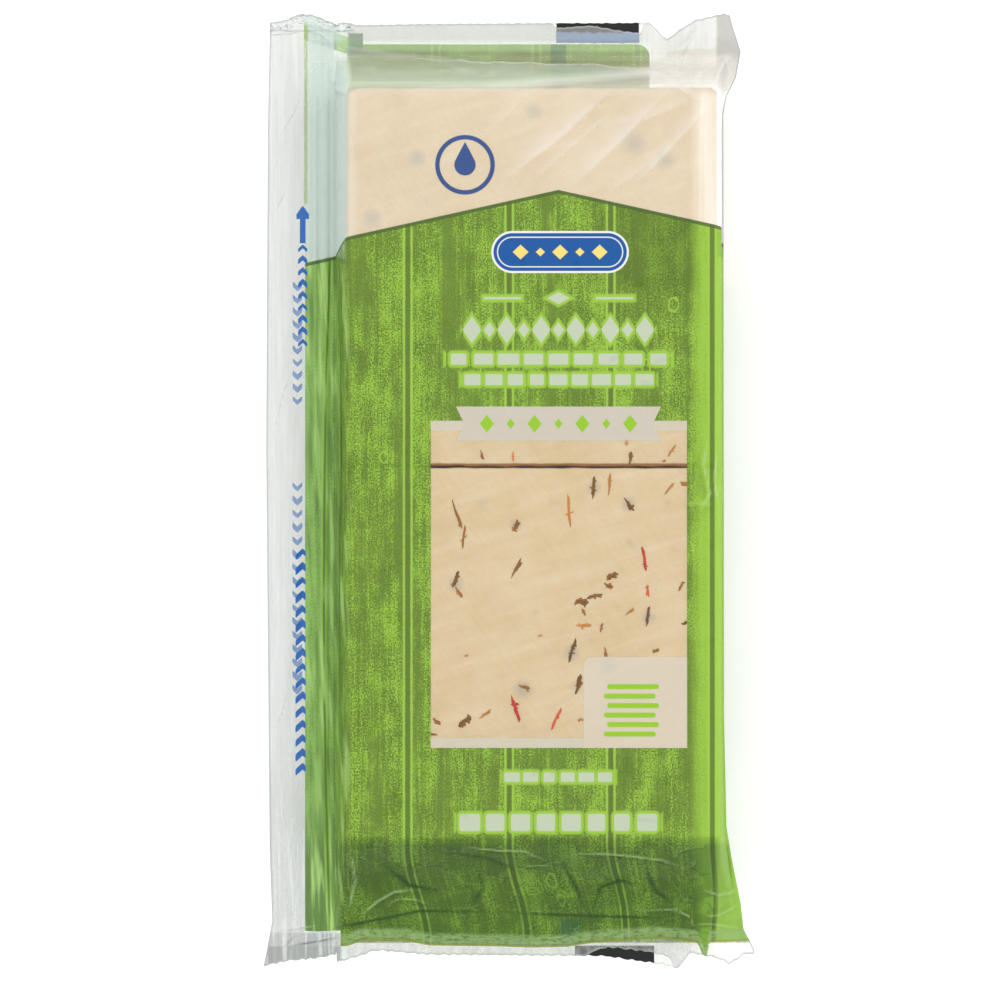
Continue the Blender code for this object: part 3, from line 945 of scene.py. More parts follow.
@dataclass
class FrontPrint:
    """The printed face: a peaked green field with a window, a ribbon and plain motifs."""

    ink: WoodInk = WoodInk()
    middle: float = 12.1
    peak: float = 72.8
    slope: float = 0.222
    border: float = 0.9
    print_left: float = -49.7
    block_top: float = 97.4
    window: Box = ((12.2, -23.0), (62.2, 79.4))
    label_box: Box = ((33.2, -54.0), (29.9, 26.8))
    ribbon_box: Box = ((12.1, 16.0), (49.8, 8.3))
    pill: Box = ((12.5, 57.7), (33.4, 10.2))
    drop: tuple[float, float] = (-10.6, 78.9)
    gem_row: Motif = Motif((12.1, 38.8), 46.2, 6.6, 4.2, 1.1)
    dash_rows: tuple[Motif, ...] = (
        Motif((12.1, 31.7), 54.6, 2.7, 6.067, 0.88, 4.0),
        Motif((12.1, 26.7), 47.0, 2.7, 5.222, 0.88, 9.0),
        Motif((12.1, -69.8), 27.0, 2.3, 4.5, 0.86, 2.0),
        Motif((12.1, -80.8), 49.2, 4.2, 6.15, 0.84, 6.0),
    )
    pale: Colour = srgb(186, 200, 176)
    white: Colour = srgb(232, 231, 224)
    strip: Colour = srgb(200, 200, 189)
    label: Colour = srgb(208, 202, 189)
    ribbon_white: Colour = srgb(196, 194, 185)
    lime: Colour = srgb(142, 192, 42)
    blue: Colour = srgb(0, 82, 154)
    deep_blue: Colour = srgb(8, 66, 132)
    mark_blue: Colour = srgb(8, 96, 182)

    def material(self) -> bpy.types.Material:
        """The finished material of the front film."""
        made = FilmMaterial("printed_front")
        places = made.places
        x, y = places.x, places.y
        u, v = places.flat, y
        painter = Painter(made.tree, self.ink.middle, 0.0)
        self.ink.paint(places, painter, u, v)
        rows = self.rows(places, u, v)
        painter.tint(self.ink.bright, (rows - 0.75).inside(0.5))
        self.behind(places, painter)
        roof = v - (abs(u - self.middle) * -self.slope + self.peak)
        left = x * -1.0 + self.print_left
        wander = places.noise(u * 0.12, v * 0.0, 2.0, 0.5, 9.0) * 1.6 - 0.8
        flange_end = (y * -1.0 - 107.4 + wander).least(x * -1.0 - 41.0)
        above_cut = (places.end * -1.0 + wander * 0.15).most(flange_end)
        field_edge = roof.most(left).most(above_cut)
        window = box(u, v, *self.window)
        ribbon = self.ribbon(u, v)
        green = field_edge.inside().least(((-window).most(-ribbon)).inside())
        painter.tint(srgb(66, 94, 34), (abs(roof + self.border / 2.0) - self.border / 2.0).inside() * 0.9)
        frost = (abs(places.end - 1.7) - 1.2).inside(0.9) * x.ramp(-42.0, -40.0)
        grit = places.noise(x * 0.5, y * 1.6, 3.0, 0.7, 29.0)
        painter.tint(srgb(150, 180, 118), frost * grit.ramp(0.3, 0.55) * 0.75)
        hem = (abs(places.end - 0.2 - wander * 0.15) - 0.14).inside(0.2)
        painter.tint(srgb(150, 150, 60), hem * x.ramp(-41.0, -40.0))
        painter.cover = green * 0.955
        self.window_trim(painter, u, v, window, ribbon)
        painter.lay(rows.inside(), self.pale, 0.9)
        self.motifs(painter, u, v)
        self.header_marks(places, painter)
        haze, milk = self.haze(places, roof), self.milk(places)
        return made.finish(painter, haze, milk, self.fine_relief(places), 0.35)

    def milk(self, places: Places) -> Painter:
        """The haze's colour: warm white, cooler over the zip, grey and streaked in the header, with a painted
        reflection whitening the right edge and painted shade along fold lines.
        """
        x, y = places.x, places.y
        milk = Painter(places.tree, srgb(227, 223, 215), 0.0)
        milk.tint(srgb(198, 210, 184), self.top_slope(places) * x.ramp(34.0, 20.0))
        milk.tint(srgb(196, 195, 188), y.ramp(104.0, 107.0))
        milk.tint(srgb(172, 173, 169), self.top_seal(places))
        milk.tint(srgb(180, 182, 178), places.end.ramp(0.2, -0.3))
        milk.tint(srgb(203, 217, 209), x.ramp(-38.6, -40.2))
        # Painted reflection: whiter towards the right edge of the clear top.
        milk.tint(srgb(244, 241, 232), x.ramp(44.0, 47.0) * y.ramp(98.0, 95.0))
        milk.tint(srgb(254, 253, 250), x.ramp(50.2, 51.0) * y.ramp(98.0, 95.0))
        lines = places.noise(x * 0.8, y * 0.04 + x * 0.2, 3.0, 0.65, 33.0)
        header = x.ramp(-49.3, -49.9).most(self.zip_end(places))
        milk.tint(srgb(182, 186, 184), header)
        milk.tint(srgb(156, 159, 156), header * abs(y).ramp(60.0, 104.0) * 0.8)
        milk.tint(srgb(222, 225, 223), header * lines.ramp(0.5, 0.66) * 0.7)
        milk.tint(srgb(176, 181, 179), places.rim().ramp(0.5, 0.2))
        # Painted shade along the fold lines.
        milk.tint(srgb(120, 128, 132), places.shade.ramp(-0.05, -0.8) * 0.8)
        milk.tint(srgb(110, 118, 130), self.scribble(places))
        milk.tint(srgb(150, 164, 184), self.mark_veil(places))
        return milk

    def rows(self, places: Places, u: Field, v: Field) -> Field:
        """Distance to the rows of plain motifs on the green field."""
        rows = self.gem_row.lozenges(u, v).least(self.rules(u, v))
        for row in self.dash_rows:
            rows = rows.least(row.dashes(places, u, v))
        return rows

    def behind(self, places: Places, painter: Painter) -> None:
        """Paint light and shade into the ink: painted shade where no cheese lies under it, painted shading
        and highlight lines on the bottom slope, painted light over the zip and painted shade at the flange's
        lower end, the plank seam on the flange, painted fold shade and highlights beside the left wall,
        painted light along the right edge, and the fold lines' painted shade and highlights.
        """
        x, y = places.x, places.y
        # Painted shade: the ink is darkened where no cheese lies under it, on the bottom slope and the left
        # wall.
        sway = places.noise(x * 0.06, y * 0.0, 2.0, 0.5, 63.0) * 9.0 - 4.5
        below = (y + sway).ramp(-84.0, -86.5) * y.ramp(-83.6, -84.6)
        wall = (places.contact * -1.0 + 1.0) * x.ramp(-42.8, -41.0)
        painter.tint(srgb(176, 190, 200), (below * 0.6).most(wall * 0.08), "MULTIPLY")
        painter.tint(srgb(40, 96, 80), box(x, y, (15.2, -108.4), (4.9, 7.6)).inside(0.4) * 0.45)
        # Painted facet shading, and thin painted highlight and shade lines, on the bottom slope.
        turned = y * 0.15 - x * 0.02
        facet = places.noise(x * 0.085 + y * 0.03, turned, 1.5, 0.45, 65.0)
        painter.tint(srgb(60, 92, 32), facet.ramp(0.5, 0.54) * below * 0.34)
        turned = y * 0.2 + x * 0.03
        ridge = places.noise(x * 0.1 - y * 0.05, turned, 2.0, 0.4, 67.0)
        painter.tint(srgb(150, 186, 106), (abs(ridge - 0.5) - 0.003).inside(0.01) * below * 0.32)
        painter.tint(srgb(46, 76, 26), (abs(ridge - 0.519) - 0.009).inside(0.02) * below * 0.4)
        # Painted light on the ink over the zip, and painted shade on the flange towards the bottom end.
        flange = x.ramp(-41.0, -43.2)
        painter.tint(srgb(152, 204, 108), flange * 0.55)
        painter.tint(srgb(86, 122, 52), flange * y.ramp(-76.0, -90.0) * 0.85)
        bow = y * 0.0122 + 0.3
        seam = abs(x + 45.1 - bow * bow * 1.5)
        below_roof = y.ramp(57.0, 56.0)
        painter.tint(self.ink.seam_line, (seam - 0.75).inside(0.2) * below_roof * 0.7)
        painter.tint(srgb(78, 116, 40), (seam - 0.26).inside(0.2) * below_roof * 0.85)
        # Painted fold shade and highlights beside the left wall.
        folds = places.noise(x * 0.6 + y * 0.03, y * 0.05, 2.0, 0.5, 61.0)
        beside = x.ramp(-38.0, -40.0)
        painter.tint(srgb(74, 106, 40), folds.ramp(0.53, 0.66) * beside * 0.46)
        painter.tint(srgb(182, 222, 128), folds.ramp(0.48, 0.34) * beside * 0.68)
        # Painted light along the right edge, where the film turns down.
        painter.tint(srgb(178, 224, 100), x.ramp(50.0, 51.4) * below_roof * 0.45)
        # The fold lines' painted shade and highlights.
        painter.tint(srgb(40, 66, 24), places.shade.ramp(-0.04, -1.0) * 0.85)
        painter.tint(srgb(190, 214, 156), places.shade.ramp(0.15, 0.9) * 0.5)

    def ribbon(self, u: Field, v: Field) -> Field:
        """Distance to the ribbon over the window's top, cut to swallow tails."""
        (middle, height), _ = self.ribbon_box
        tails = abs(u - middle) - 22.9 - abs(v - height) * 0.48
        return box(u, v, *self.ribbon_box).most(tails)

    def window_trim(self, painter: Painter, u: Field, v: Field, window: Field, ribbon: Field) -> None:
        """The window's pale strips, its label box and the ribbon with its plain motifs."""
        strips = (abs(v + 23.0) * -1.0 + 37.3).most(window)
        painter.lay(strips.inside(), self.strip, 0.62)
        label = box(u, v, *self.label_box, 2.0).most(window)
        painter.lay(label.inside(), self.label, 0.66)
        painter.lay(ribbon.inside(), self.ribbon_white, 0.74)
        gems = Motif(self.ribbon_box[0], 40.6, 4.4, 5.8, 0.6).lozenges(u, v)
        painter.lay(gems.inside(), self.lime, 0.95)
        painter.lay(self.slices_sign(u, v).inside(), self.lime, 0.95)

    def slices_sign(self, u: Field, v: Field) -> Field:
        """Distance to a plain sign of stacked slices, each a leaning bar."""
        row = ((v + 60.5) * (1.0 / 2.3)).math("FLOOR")
        local = v + 60.5 - (row + 0.5) * 2.3
        lean = (row * 0.5).math("FRACT") * 1.6
        bar = box(u - lean, local, (29.4, 0.0), (12.6, 1.25), 0.6)
        return bar.most(abs(v + 53.6) - 6.9)

    def rules(self, u: Field, v: Field) -> Field:
        """Distance to the two rules with a small lozenge between them."""
        lines = box(abs(u - self.middle), v, (13.6, 46.5), (9.0, 0.55))
        gem = (abs(u - self.middle) * 0.55 + abs(v - 46.5)) - 1.5
        return lines.least(gem)

    def motifs(self, painter: Painter, u: Field, v: Field) -> None:
        """The badge on the green field and the ringed drop on the clear top."""
        pill = box(u, v, *self.pill, 5.1)
        painter.lay(pill.inside(), self.white, 0.97)
        painter.lay((pill + 0.5).inside(), self.blue, 0.97)
        painter.lay((abs(pill + 1.5) - 0.14).inside(), self.white, 0.97)
        gems = Motif(self.pill[0], 24.0, 3.6, 4.8, 0.8).lozenges(u, v)
        painter.lay(gems.inside(), srgb(238, 214, 120), 0.97)
        across, up = u - self.drop[0], v - self.drop[1]
        reach = (across * across + up * up).math("SQRT")
        painter.lay((abs(reach - 6.7) - 0.55).inside(), self.deep_blue, 0.92)
        drop = (reach - 2.6).least(abs(across) * 1.9 + abs(up - 1.7) - 3.9)
        painter.lay(drop.inside(), self.deep_blue, 0.92)

    def header_marks(self, places: Places, painter: Painter) -> None:
        """The arrow and chevrons beside the tear line."""
        x, y = places.x, places.y
        off = abs(x + 50.3)
        head = (off * 1.35 + (y - 69.7)).most(y * -1.0 + 66.4).most(off - 1.55)
        shaft = box(x, y, (-50.3, 63.6), (1.4, 6.2))
        arrow = head.least(shaft)
        painter.lay(arrow.inside(), self.mark_blue, 0.94)
        slanted = y + off * 0.9
        upper = Motif((47.7, -50.3), 25.0, 2.3, 2.9, 0.5).dashes(places, slanted, x)
        lower = Motif((-41.0, -50.8), 56.0, 2.5, 3.5, 0.56, 5.0).dashes(places, slanted, x)
        painter.lay(upper.least(lower).inside(), self.mark_blue, 0.94)
        fold = (abs(x + 49.55) - 0.42).most(abs(y - 92.0) - 21.8)
        dots = places.noise(x * 2.0, y * 2.2, 2.0, 0.6, 39.0)
        painter.lay(fold.inside(0.3) * dots.ramp(0.3, 0.5), srgb(150, 166, 84), 0.7)

    def haze(self, places: Places, roof: Field) -> Field:
        """How milky the bare film is: least over the window, most where it stands off, with painted
        highlights along soft folds, walls, edges and the pouch's corner, and painted light and shade along
        fold lines.
        """
        x, y = places.x, places.y
        header = x.ramp(-49.4, -49.9).most(self.zip_end(places))
        above = roof.ramp(-1.2, -0.6) * (header * -1.0 + 1.0)
        streaks = places.noise(x * 0.7, y * 0.05, 3.0, 0.6, 31.0)
        clouds = places.noise(x * 0.11, y * 0.09, 3.0, 0.6, 35.0)
        on_block = y.ramp(106.0, 98.0)
        # Painted highlight bands along the soft folds.
        base = places.loose * y.ramp(100.0, 96.0) * 0.4 * above
        base = base + above * on_block * (clouds * 0.2 + 0.15) + 0.02
        # Painted reflection along the right edge of the clear top.
        right = places.noise(x * 0.45, y * 0.02, 2.0, 0.5, 34.0).ramp(0.1, 0.75)
        right = right * x.ramp(44.0, 46.5) * y.ramp(99.0, 96.0) * 1.5
        # Painted highlights along the left side of the clear top and the block's top edge.
        glow = x.ramp(-36.0, -39.6).most(right).most(y.ramp(95.0, 98.4) * 0.6)
        # Painted highlight on the steep walls, strongest at the right edge.
        wall_sheen = x.ramp(-39.0, -40.0) * x.ramp(-42.6, -41.6) * y.ramp(105.0, 101.0)
        wall_sheen = (wall_sheen * 0.5).most(x.ramp(50.4, 51.2) * 2.0)
        ear = y.ramp(97.0, 103.0) * x.ramp(30.0, 38.0) * 0.24
        # Painted highlight at the pouch's top left corner.
        corner_highlight = (x + 40.4) * (x + 40.4) * 5.0 + (y - 101.6) * (y - 101.6)
        corner_highlight = corner_highlight.ramp(30.0, 10.0)
        clear = glow * on_block * 0.34 + wall_sheen * 0.4 + self.top_slope(places) * 0.3 + ear + corner_highlight * 0.4
        # Painted highlight along the block's top edge, with a thin bright line.
        rising = (x + 5.0).most(0.0).least(39.0) * 0.09
        band = (abs(y - 98.2 - rising) - 1.0).inside(1.6) * x.ramp(-20.0, 5.0) * 0.3
        crest = (abs(y - 98.9 - rising * 0.6) - 0.15).inside(0.4) * x.ramp(34.0, 28.0)
        band = band.most(crest * x.ramp(-39.4, -38.0) * 0.24)
        sealed = y.ramp(104.6, 106.0) * 0.1 + self.top_seal(places) * 0.36
        zipped = header * -1.0 + x.ramp(-40.6, -42.4)
        edge = places.rim().ramp(0.55, 0.15) * 0.3
        # Painted highlight along raised fold lines and painted shade along sunk ones.
        folds = places.shade.ramp(0.12, 0.9) * 0.6 + places.shade.ramp(-0.1, -0.8) * 0.4
        folds = folds * above.most(header)
        own = above * (clear + band + sealed) + zipped * 0.23 + self.zip_end(places) * 0.3
        own = own + header * (streaks * 0.16 + y.ramp(-40.0, -90.0) * 0.16 + 0.18)
        crumple = places.noise(x * 0.7, y * 0.35, 2.0, 0.5, 47.0).ramp(0.36, 0.66)
        own = own + places.end.ramp(0.2, -0.3) * (crumple * 0.26 + 0.28)
        return base + own + edge + folds + self.scribble(places) * 0.8 + self.mark_veil(places) * 0.5

    def top_seal(self, places: Places) -> Field:
        """The bare crimped seal along the top, left of the ear."""
        return places.y.ramp(108.8, 110.4) * places.x.ramp(36.0, 30.0)

    def zip_end(self, places: Places) -> Field:
        """The film below the zip's green, which is bare like the header."""
        return places.y.ramp(-107.6, -108.2) * places.x.ramp(-40.4, -41.2)

    def scribble(self, places: Places) -> Field:
        """Dark crimp marks along the header's top cut."""
        x, y = places.x, places.y
        crimp = places.noise(x * 0.5, y * 1.1, 2.0, 0.5, 43.0)
        marks = (abs(crimp - 0.5) - 0.012).inside(0.02) * places.top.ramp(3.2, 2.0)
        line = (abs(y - 111.9 - crimp) - 0.14).inside(0.15) * 0.5
        return marks.most(line) * x.ramp(-37.0, -39.0)

    def mark_veil(self, places: Places) -> Field:
        """The front film's frost over the lower part of the back's dark mark."""
        x, y = places.x, places.y
        wave = places.noise(x * 0.35, y * 0.0, 2.0, 0.5, 45.0) * 1.6
        return box(x, y + wave, (21.8, 111.6), (20.2, 2.6)).inside(0.5)

    def top_slope(self, places: Places) -> Field:
        """Where the film leaves the block towards the top seal, up to its own fold line."""
        x, y = places.x, places.y
        run = (x * -1.0 + 34.0) * (1.0 / 72.0)
        edge = y - run.most(0.0) * run.most(0.0) * 5.2 - 103.4
        start = (x + 5.0).most(0.0) * -0.08 + y
        past = start.ramp(self.block_top - 0.6, self.block_top + 1.6)
        return edge.inside(0.8) * past * x.ramp(-41.5, -39.5)

    def fine_relief(self, places: Places) -> Field:
        """Fine wrinkles: streaks along the header and shallow ripples elsewhere."""
        x, y = places.x, places.y
        header = x.ramp(-41.8, -43.0)
        streaks = places.noise(x * 2.2, y * 0.05, 3.0, 0.6, 37.0)
        ripples = places.noise(x * 0.5, y * 0.35, 4.0, 0.6, 41.0)
        crimp = (places.bottom * 5.0).math("SINE") * places.bottom.ramp(6.5, 5.5) * 0.05
        crimp = crimp + (places.top * 5.0).math("SINE") * places.top.ramp(5.5, 4.5) * 0.05
        return streaks * header * 0.3 + ripples * 0.28 + crimp


@dataclass
class BackPrint:
    """The back film: the same planks with a plain pale panel, and black print marks."""

    ink: WoodInk = WoodInk()

    def material(self) -> bpy.types.Material:
        """The finished material of the back film."""
        made = FilmMaterial("printed_back")
        places = made.places
        u, v = places.x, places.y
        painter = Painter(made.tree, self.ink.middle, 0.0)
        self.ink.paint(places, painter, u * -1.0 + 7.0, v)
        upper = box(u, v, (-2.5, 40.0), (74.0, 138.4), 3.2)
        lower = box(u, v, (14.0, -30.0), (110.0, 160.8))
        strip = abs(v + u * 0.33 - 95.9) - 2.1
        strip = strip.most(u + 38.0).most(u * -1.0 - 50.0)
        field_edge = upper.most(u * -1.0 - 39.6).least(lower.most(u * -1.0 - 49.8)).least(strip)
        field_edge = field_edge.most((v * -1.0 - 107.0).least(u * -1.0 - 41.0))
        patch = box(u, v, (-37.4, 109.2), (3.6, 5.4))
        field_edge = field_edge.least(patch)
        painter.cover = field_edge.inside() * 0.965
        lap = (abs(u - 12.2) - 1.9).least(patch).inside()
        # Painted light: the back film is lightened where it rises towards the top end.
        painter.tint(srgb(176, 206, 144), v.ramp(96.0, 100.0) * 0.6)
        painter.tint(srgb(84, 128, 104), lap * 0.6)
        panel = box(u, v, (4.0, 18.0), (58.0, 96.0), 2.5)
        painter.lay(panel.inside(), srgb(226, 228, 214), 0.97)
        painter.lay((abs(panel + 1.6) - 0.25).inside(), srgb(96, 130, 50), 0.97)
        painter.lay(self.table(u, v).inside(), srgb(120, 134, 100), 0.97)
        top_mark = box(u, v, (21.8, 112.4), (20.2, 5.6))
        low_mark = box(u, v, (25.9, -114.4), (19.4, 6.6))
        marks = top_mark.least(low_mark).most(field_edge * -1.0)
        painter.lay(marks.inside(), srgb(18, 18, 18), 0.985)
        slanted = v - abs(u + 51.6) * 0.9
        upper = Motif((35.5, -51.6), 31.0, 2.3, 3.1, 0.5).dashes(places, slanted, u)
        lower = Motif((-24.2, -51.6), 53.0, 2.4, 3.3, 0.5, 5.0).dashes(places, slanted, u)
        painter.lay(upper.least(lower).inside(), srgb(40, 120, 200), 0.85)
        streaks = places.noise(u * 1.3, v * 0.04, 3.0, 0.6, 51.0)
        ripples = places.noise(u * 0.5, v * 0.4, 4.0, 0.6, 53.0)
        milk = Painter(made.tree, srgb(170, 177, 172), 0.0)
        milk.tint(srgb(150, 156, 153), places.rim().ramp(0.5, 0.2))
        haze = streaks * 0.22 + places.rim().ramp(0.55, 0.15) * 0.3 + 0.08
        return made.finish(painter, haze, milk, ripples * 0.3 + streaks * 0.2, 0.3)

    def table(self, u: Field, v: Field) -> Field:
        """Distance to plain ruled lines in the pale panel."""
        row = (v * (1.0 / 6.0)).math("FRACT")
        rule = abs(row - 0.5) * 6.0 - 0.3
        return rule.most(box(u, v, (4.0, 18.0), (48.0, 84.0)))


@dataclass(frozen=True)
class CheeseFinish:
    """Pale semi-soft cheese: cream, satin, with faint clouds, pores and cut marks, and painted shade along
    the gap between the two stacks.
    """

    light: Colour = srgb(213, 195, 160)
    warm: Colour = srgb(206, 184, 145)
    smudge: Colour = srgb(162, 159, 149)
    sunk: tuple[tuple[float, float, float], ...] = (
        (3.2, -48.6, 2.4), (1.9, -8.6, 1.5), (20.6, 0.4, 1.8), (29.2, -3.6, 1.8), (-12.8, -23.0, 1.9),
        (34.0, -31.0, 1.6), (15.2, -39.6, 1.9), (24.2, -43.0, 1.8), (16.6, -48.0, 1.6), (30.5, 84.0, 3.0),
        (38.0, 80.0, 2.4), (-22.0, 80.5, 2.2), (6.0, 92.0, 2.0), (-33.0, 66.0, 2.4),
    )

    def material(self) -> bpy.types.Material:
        """The finished material."""
        made = FilmMaterial("pale_cheese", attributes=False)
        places = made.places
        x, y = places.x, places.y
        painter = Painter(made.tree, self.light, 1.0)
        cloud = places.noise(x * 0.09, y * 0.07, 3.0, 0.6, 61.0)
        drawn = places.noise(x * 0.7 + y * 0.5, y * 0.12, 3.0, 0.6, 67.0)
        painter.tint(self.warm, (cloud * 0.7 + drawn * 0.3).ramp(0.34, 0.64))
        turned = y * 0.34 - x * 0.1
        streaks = places.noise(x * 0.045 + y * 0.012, turned, 4.0, 0.6, 69.0)
        painter.tint(srgb(197, 172, 127), streaks.ramp(0.5, 0.72) * 0.3)
        painter.tint(srgb(221, 207, 178), streaks.ramp(0.46, 0.3) * 0.35)
        smudges = places.noise(x * 0.22, y * 0.18, 2.0, 0.5, 71.0)
        painter.tint(self.smudge, smudges.ramp(0.66, 0.8) * 0.3)
        for at_x, at_y, radius in self.sunk:
            off_x, off_y = x - at_x, y - at_y
            away = (off_x * off_x + off_y * off_y).math("SQRT")
            wobble = smudges * (radius * 1.2) - radius * 0.6
            painter.tint(self.smudge, (away + wobble).ramp(radius * 1.25, radius * 0.2) * 0.6)
        # Painted shade: a brown line along the gap between the two stacks.
        gap_shade = abs(y - 5.8 - smudges * 0.4 + 0.2)
        painter.tint(srgb(138, 84, 34), gap_shade.ramp(0.75, 0.4) * 0.9)
        side = places.z.math("MODULO", PackSizes.slice_thickness)
        painter.tint(srgb(222, 190, 138), abs(side - 1.05).ramp(0.75, 1.02) * places.z.ramp(24.4, 23.9) * 0.5)
        pores = places.noise(x * 2.6, y * 2.3 + places.z * 2.0, 3.0, 0.7, 73.0)
        relief = made.node("ShaderNodeBump", Strength=0.3, Distance=MM, Height=pores * 0.22 + drawn * 0.3)
        rough = pores * 0.16 + 0.36
        body = made.node(
            "ShaderNodeBsdfPrincipled", Base_Color=painter.colour, Roughness=rough, Normal=relief.outputs[0],
            Subsurface_Weight=0.22, Subsurface_Scale=2.5 * MM, Subsurface_Radius=(1.0, 0.62, 0.3),
        )
        made.node("ShaderNodeOutputMaterial", Surface=body.outputs[0])
        return made.material


@dataclass(frozen=True)
class FleckFinish:
    """Moist pepper: green-black, brown, orange or red by the fleck's own tone."""

    tones: tuple[tuple[float, Colour], ...] = (
        (0.0, srgb(62, 50, 12)), (0.25, srgb(112, 74, 14)), (0.45, srgb(150, 96, 22)),
        (0.62, srgb(186, 120, 32)), (0.75, srgb(220, 132, 52)), (0.88, srgb(218, 82, 42)),
        (1.0, srgb(184, 36, 30)),
    )

    def material(self) -> bpy.types.Material:
        """The finished material."""
        made = FilmMaterial("pepper_flecks", attributes=False)
        tone = made.tree.nodes.new("ShaderNodeAttribute")
        tone.attribute_name = "tone"
        grain = made.places.noise(made.places.x * 1.6, made.places.y * 1.5, 3.0, 0.7, 81.0)
        shade = Field(made.tree, tone.outputs["Fac"]) + grain * 0.24 - 0.12
        ramp = made.node("ShaderNodeValToRGB", Fac=shade)
        stops = ramp.color_ramp.elements
        for place, colour in self.tones[1:-1]:
            stops.new(place).color = (*colour, 1.0)
        stops[0].color = (*self.tones[0][1], 1.0)
        stops[len(stops) - 1].color = (*self.tones[-1][1], 1.0)
        relief = made.node("ShaderNodeBump", Strength=0.5, Distance=MM, Height=grain * 0.4)
        body = made.node(
            "ShaderNodeBsdfPrincipled", Base_Color=ramp.outputs[0], Roughness=0.38, Normal=relief.outputs[0],
        )
        made.node("ShaderNodeOutputMaterial", Surface=body.outputs[0])
        return made.material


@dataclass(frozen=True)
class ZipFinish:
    """Milky translucent zip plastic with fine lines drawn along it."""

    milky: Colour = srgb(218, 228, 222)

    def material(self) -> bpy.types.Material:
        """The finished material."""
        made = FilmMaterial("zip_plastic", attributes=False)
        places = made.places
        painter = Painter(made.tree, self.milky, 1.0)
        lines = places.noise(places.x * 2.4, places.y * 0.02, 3.0, 0.6, 91.0)
        painter.tint(srgb(196, 214, 206), lines.ramp(0.4, 0.7) * 0.35)
        relief = made.node("ShaderNodeBump", Strength=0.4, Distance=MM, Height=lines * 0.3)
        alpha = lines * 0.2 + 0.44
        body = made.node(
            "ShaderNodeBsdfPrincipled", Base_Color=painter.colour, Roughness=0.32, Alpha=alpha,
            Normal=relief.outputs[0],
        )
        made.node("ShaderNodeOutputMaterial", Surface=body.outputs[0])
        return made.material


def link(name: str, mesh: bpy.types.Mesh) -> bpy.types.Object:
    """Put a mesh in the scene as an object at the origin."""
    made = bpy.data.objects.new(name, mesh)
    bpy.context.scene.collection.objects.link(made)
    return made


@dataclass
class FilmSheet:
    """One sheet of the pouch's film, as a mesh that carries its print's places.

    Attributes:
        name: The piece's name.
        form: The film's form.
        columns: Columns of each zone.
        rows: Rows in the bottom end, the body and the top end.
        front: True for the printed face.
    """

    name: str
    form: FilmForm
    columns: dict[str, int]
    rows: tuple[int, int, int]
    front: bool

    def mesh(self) -> bpy.types.Mesh:
        """Build the sheet's mesh with its attributes."""
        data = self.form.sheet(self.columns, self.rows, self.front)
        count_rows, count_columns = data["x"].shape
        points = np.stack([data["x"], data["y"], data["z"]], axis=-1).reshape(-1, 3) * MM
        index = np.arange(count_rows * count_columns).reshape(count_rows, count_columns)
        corners = [index[:-1, :-1], index[:-1, 1:], index[1:, 1:], index[1:, :-1]]
        if not self.front:
            corners.reverse()
        faces = np.stack(corners, axis=-1).reshape(-1, 4)
        mesh = bpy.data.meshes.new(self.name)
        mesh.from_pydata(points.tolist(), [], faces.tolist())
        mesh.shade_smooth()
        # print_place also carries the soft folds' painted highlight bands, and print_sides the fold lines'
        # painted shade and highlights.
        self.store(mesh, "print_place", data["flat"], data["contact"], data["loose"])
        self.store(mesh, "print_edges", data["bottom"], data["top"], data["end"])
        self.store(mesh, "print_sides", data["left"], data["right"], data["shade"])
        return mesh

    def store(self, mesh: bpy.types.Mesh, name: str, *parts: np.ndarray) -> None:
        """Keep three numbers for each point as a vector attribute."""
        layer = mesh.attributes.new(name, "FLOAT_VECTOR", "POINT")
        layer.data.foreach_set("vector", np.stack(parts, axis=-1).reshape(-1).astype(np.float32))

    def build(self, material: bpy.types.Material) -> None:
        """Make the piece, dress it and set it in place of its solid."""
        piece = link(self.name, self.mesh())
        piece.data.materials.append(material)
        piece.visible_shadow = False
        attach(piece, BODY)
        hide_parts("film_pouch")
        LOG.info("%s has %d faces", self.name, len(piece.data.polygons))


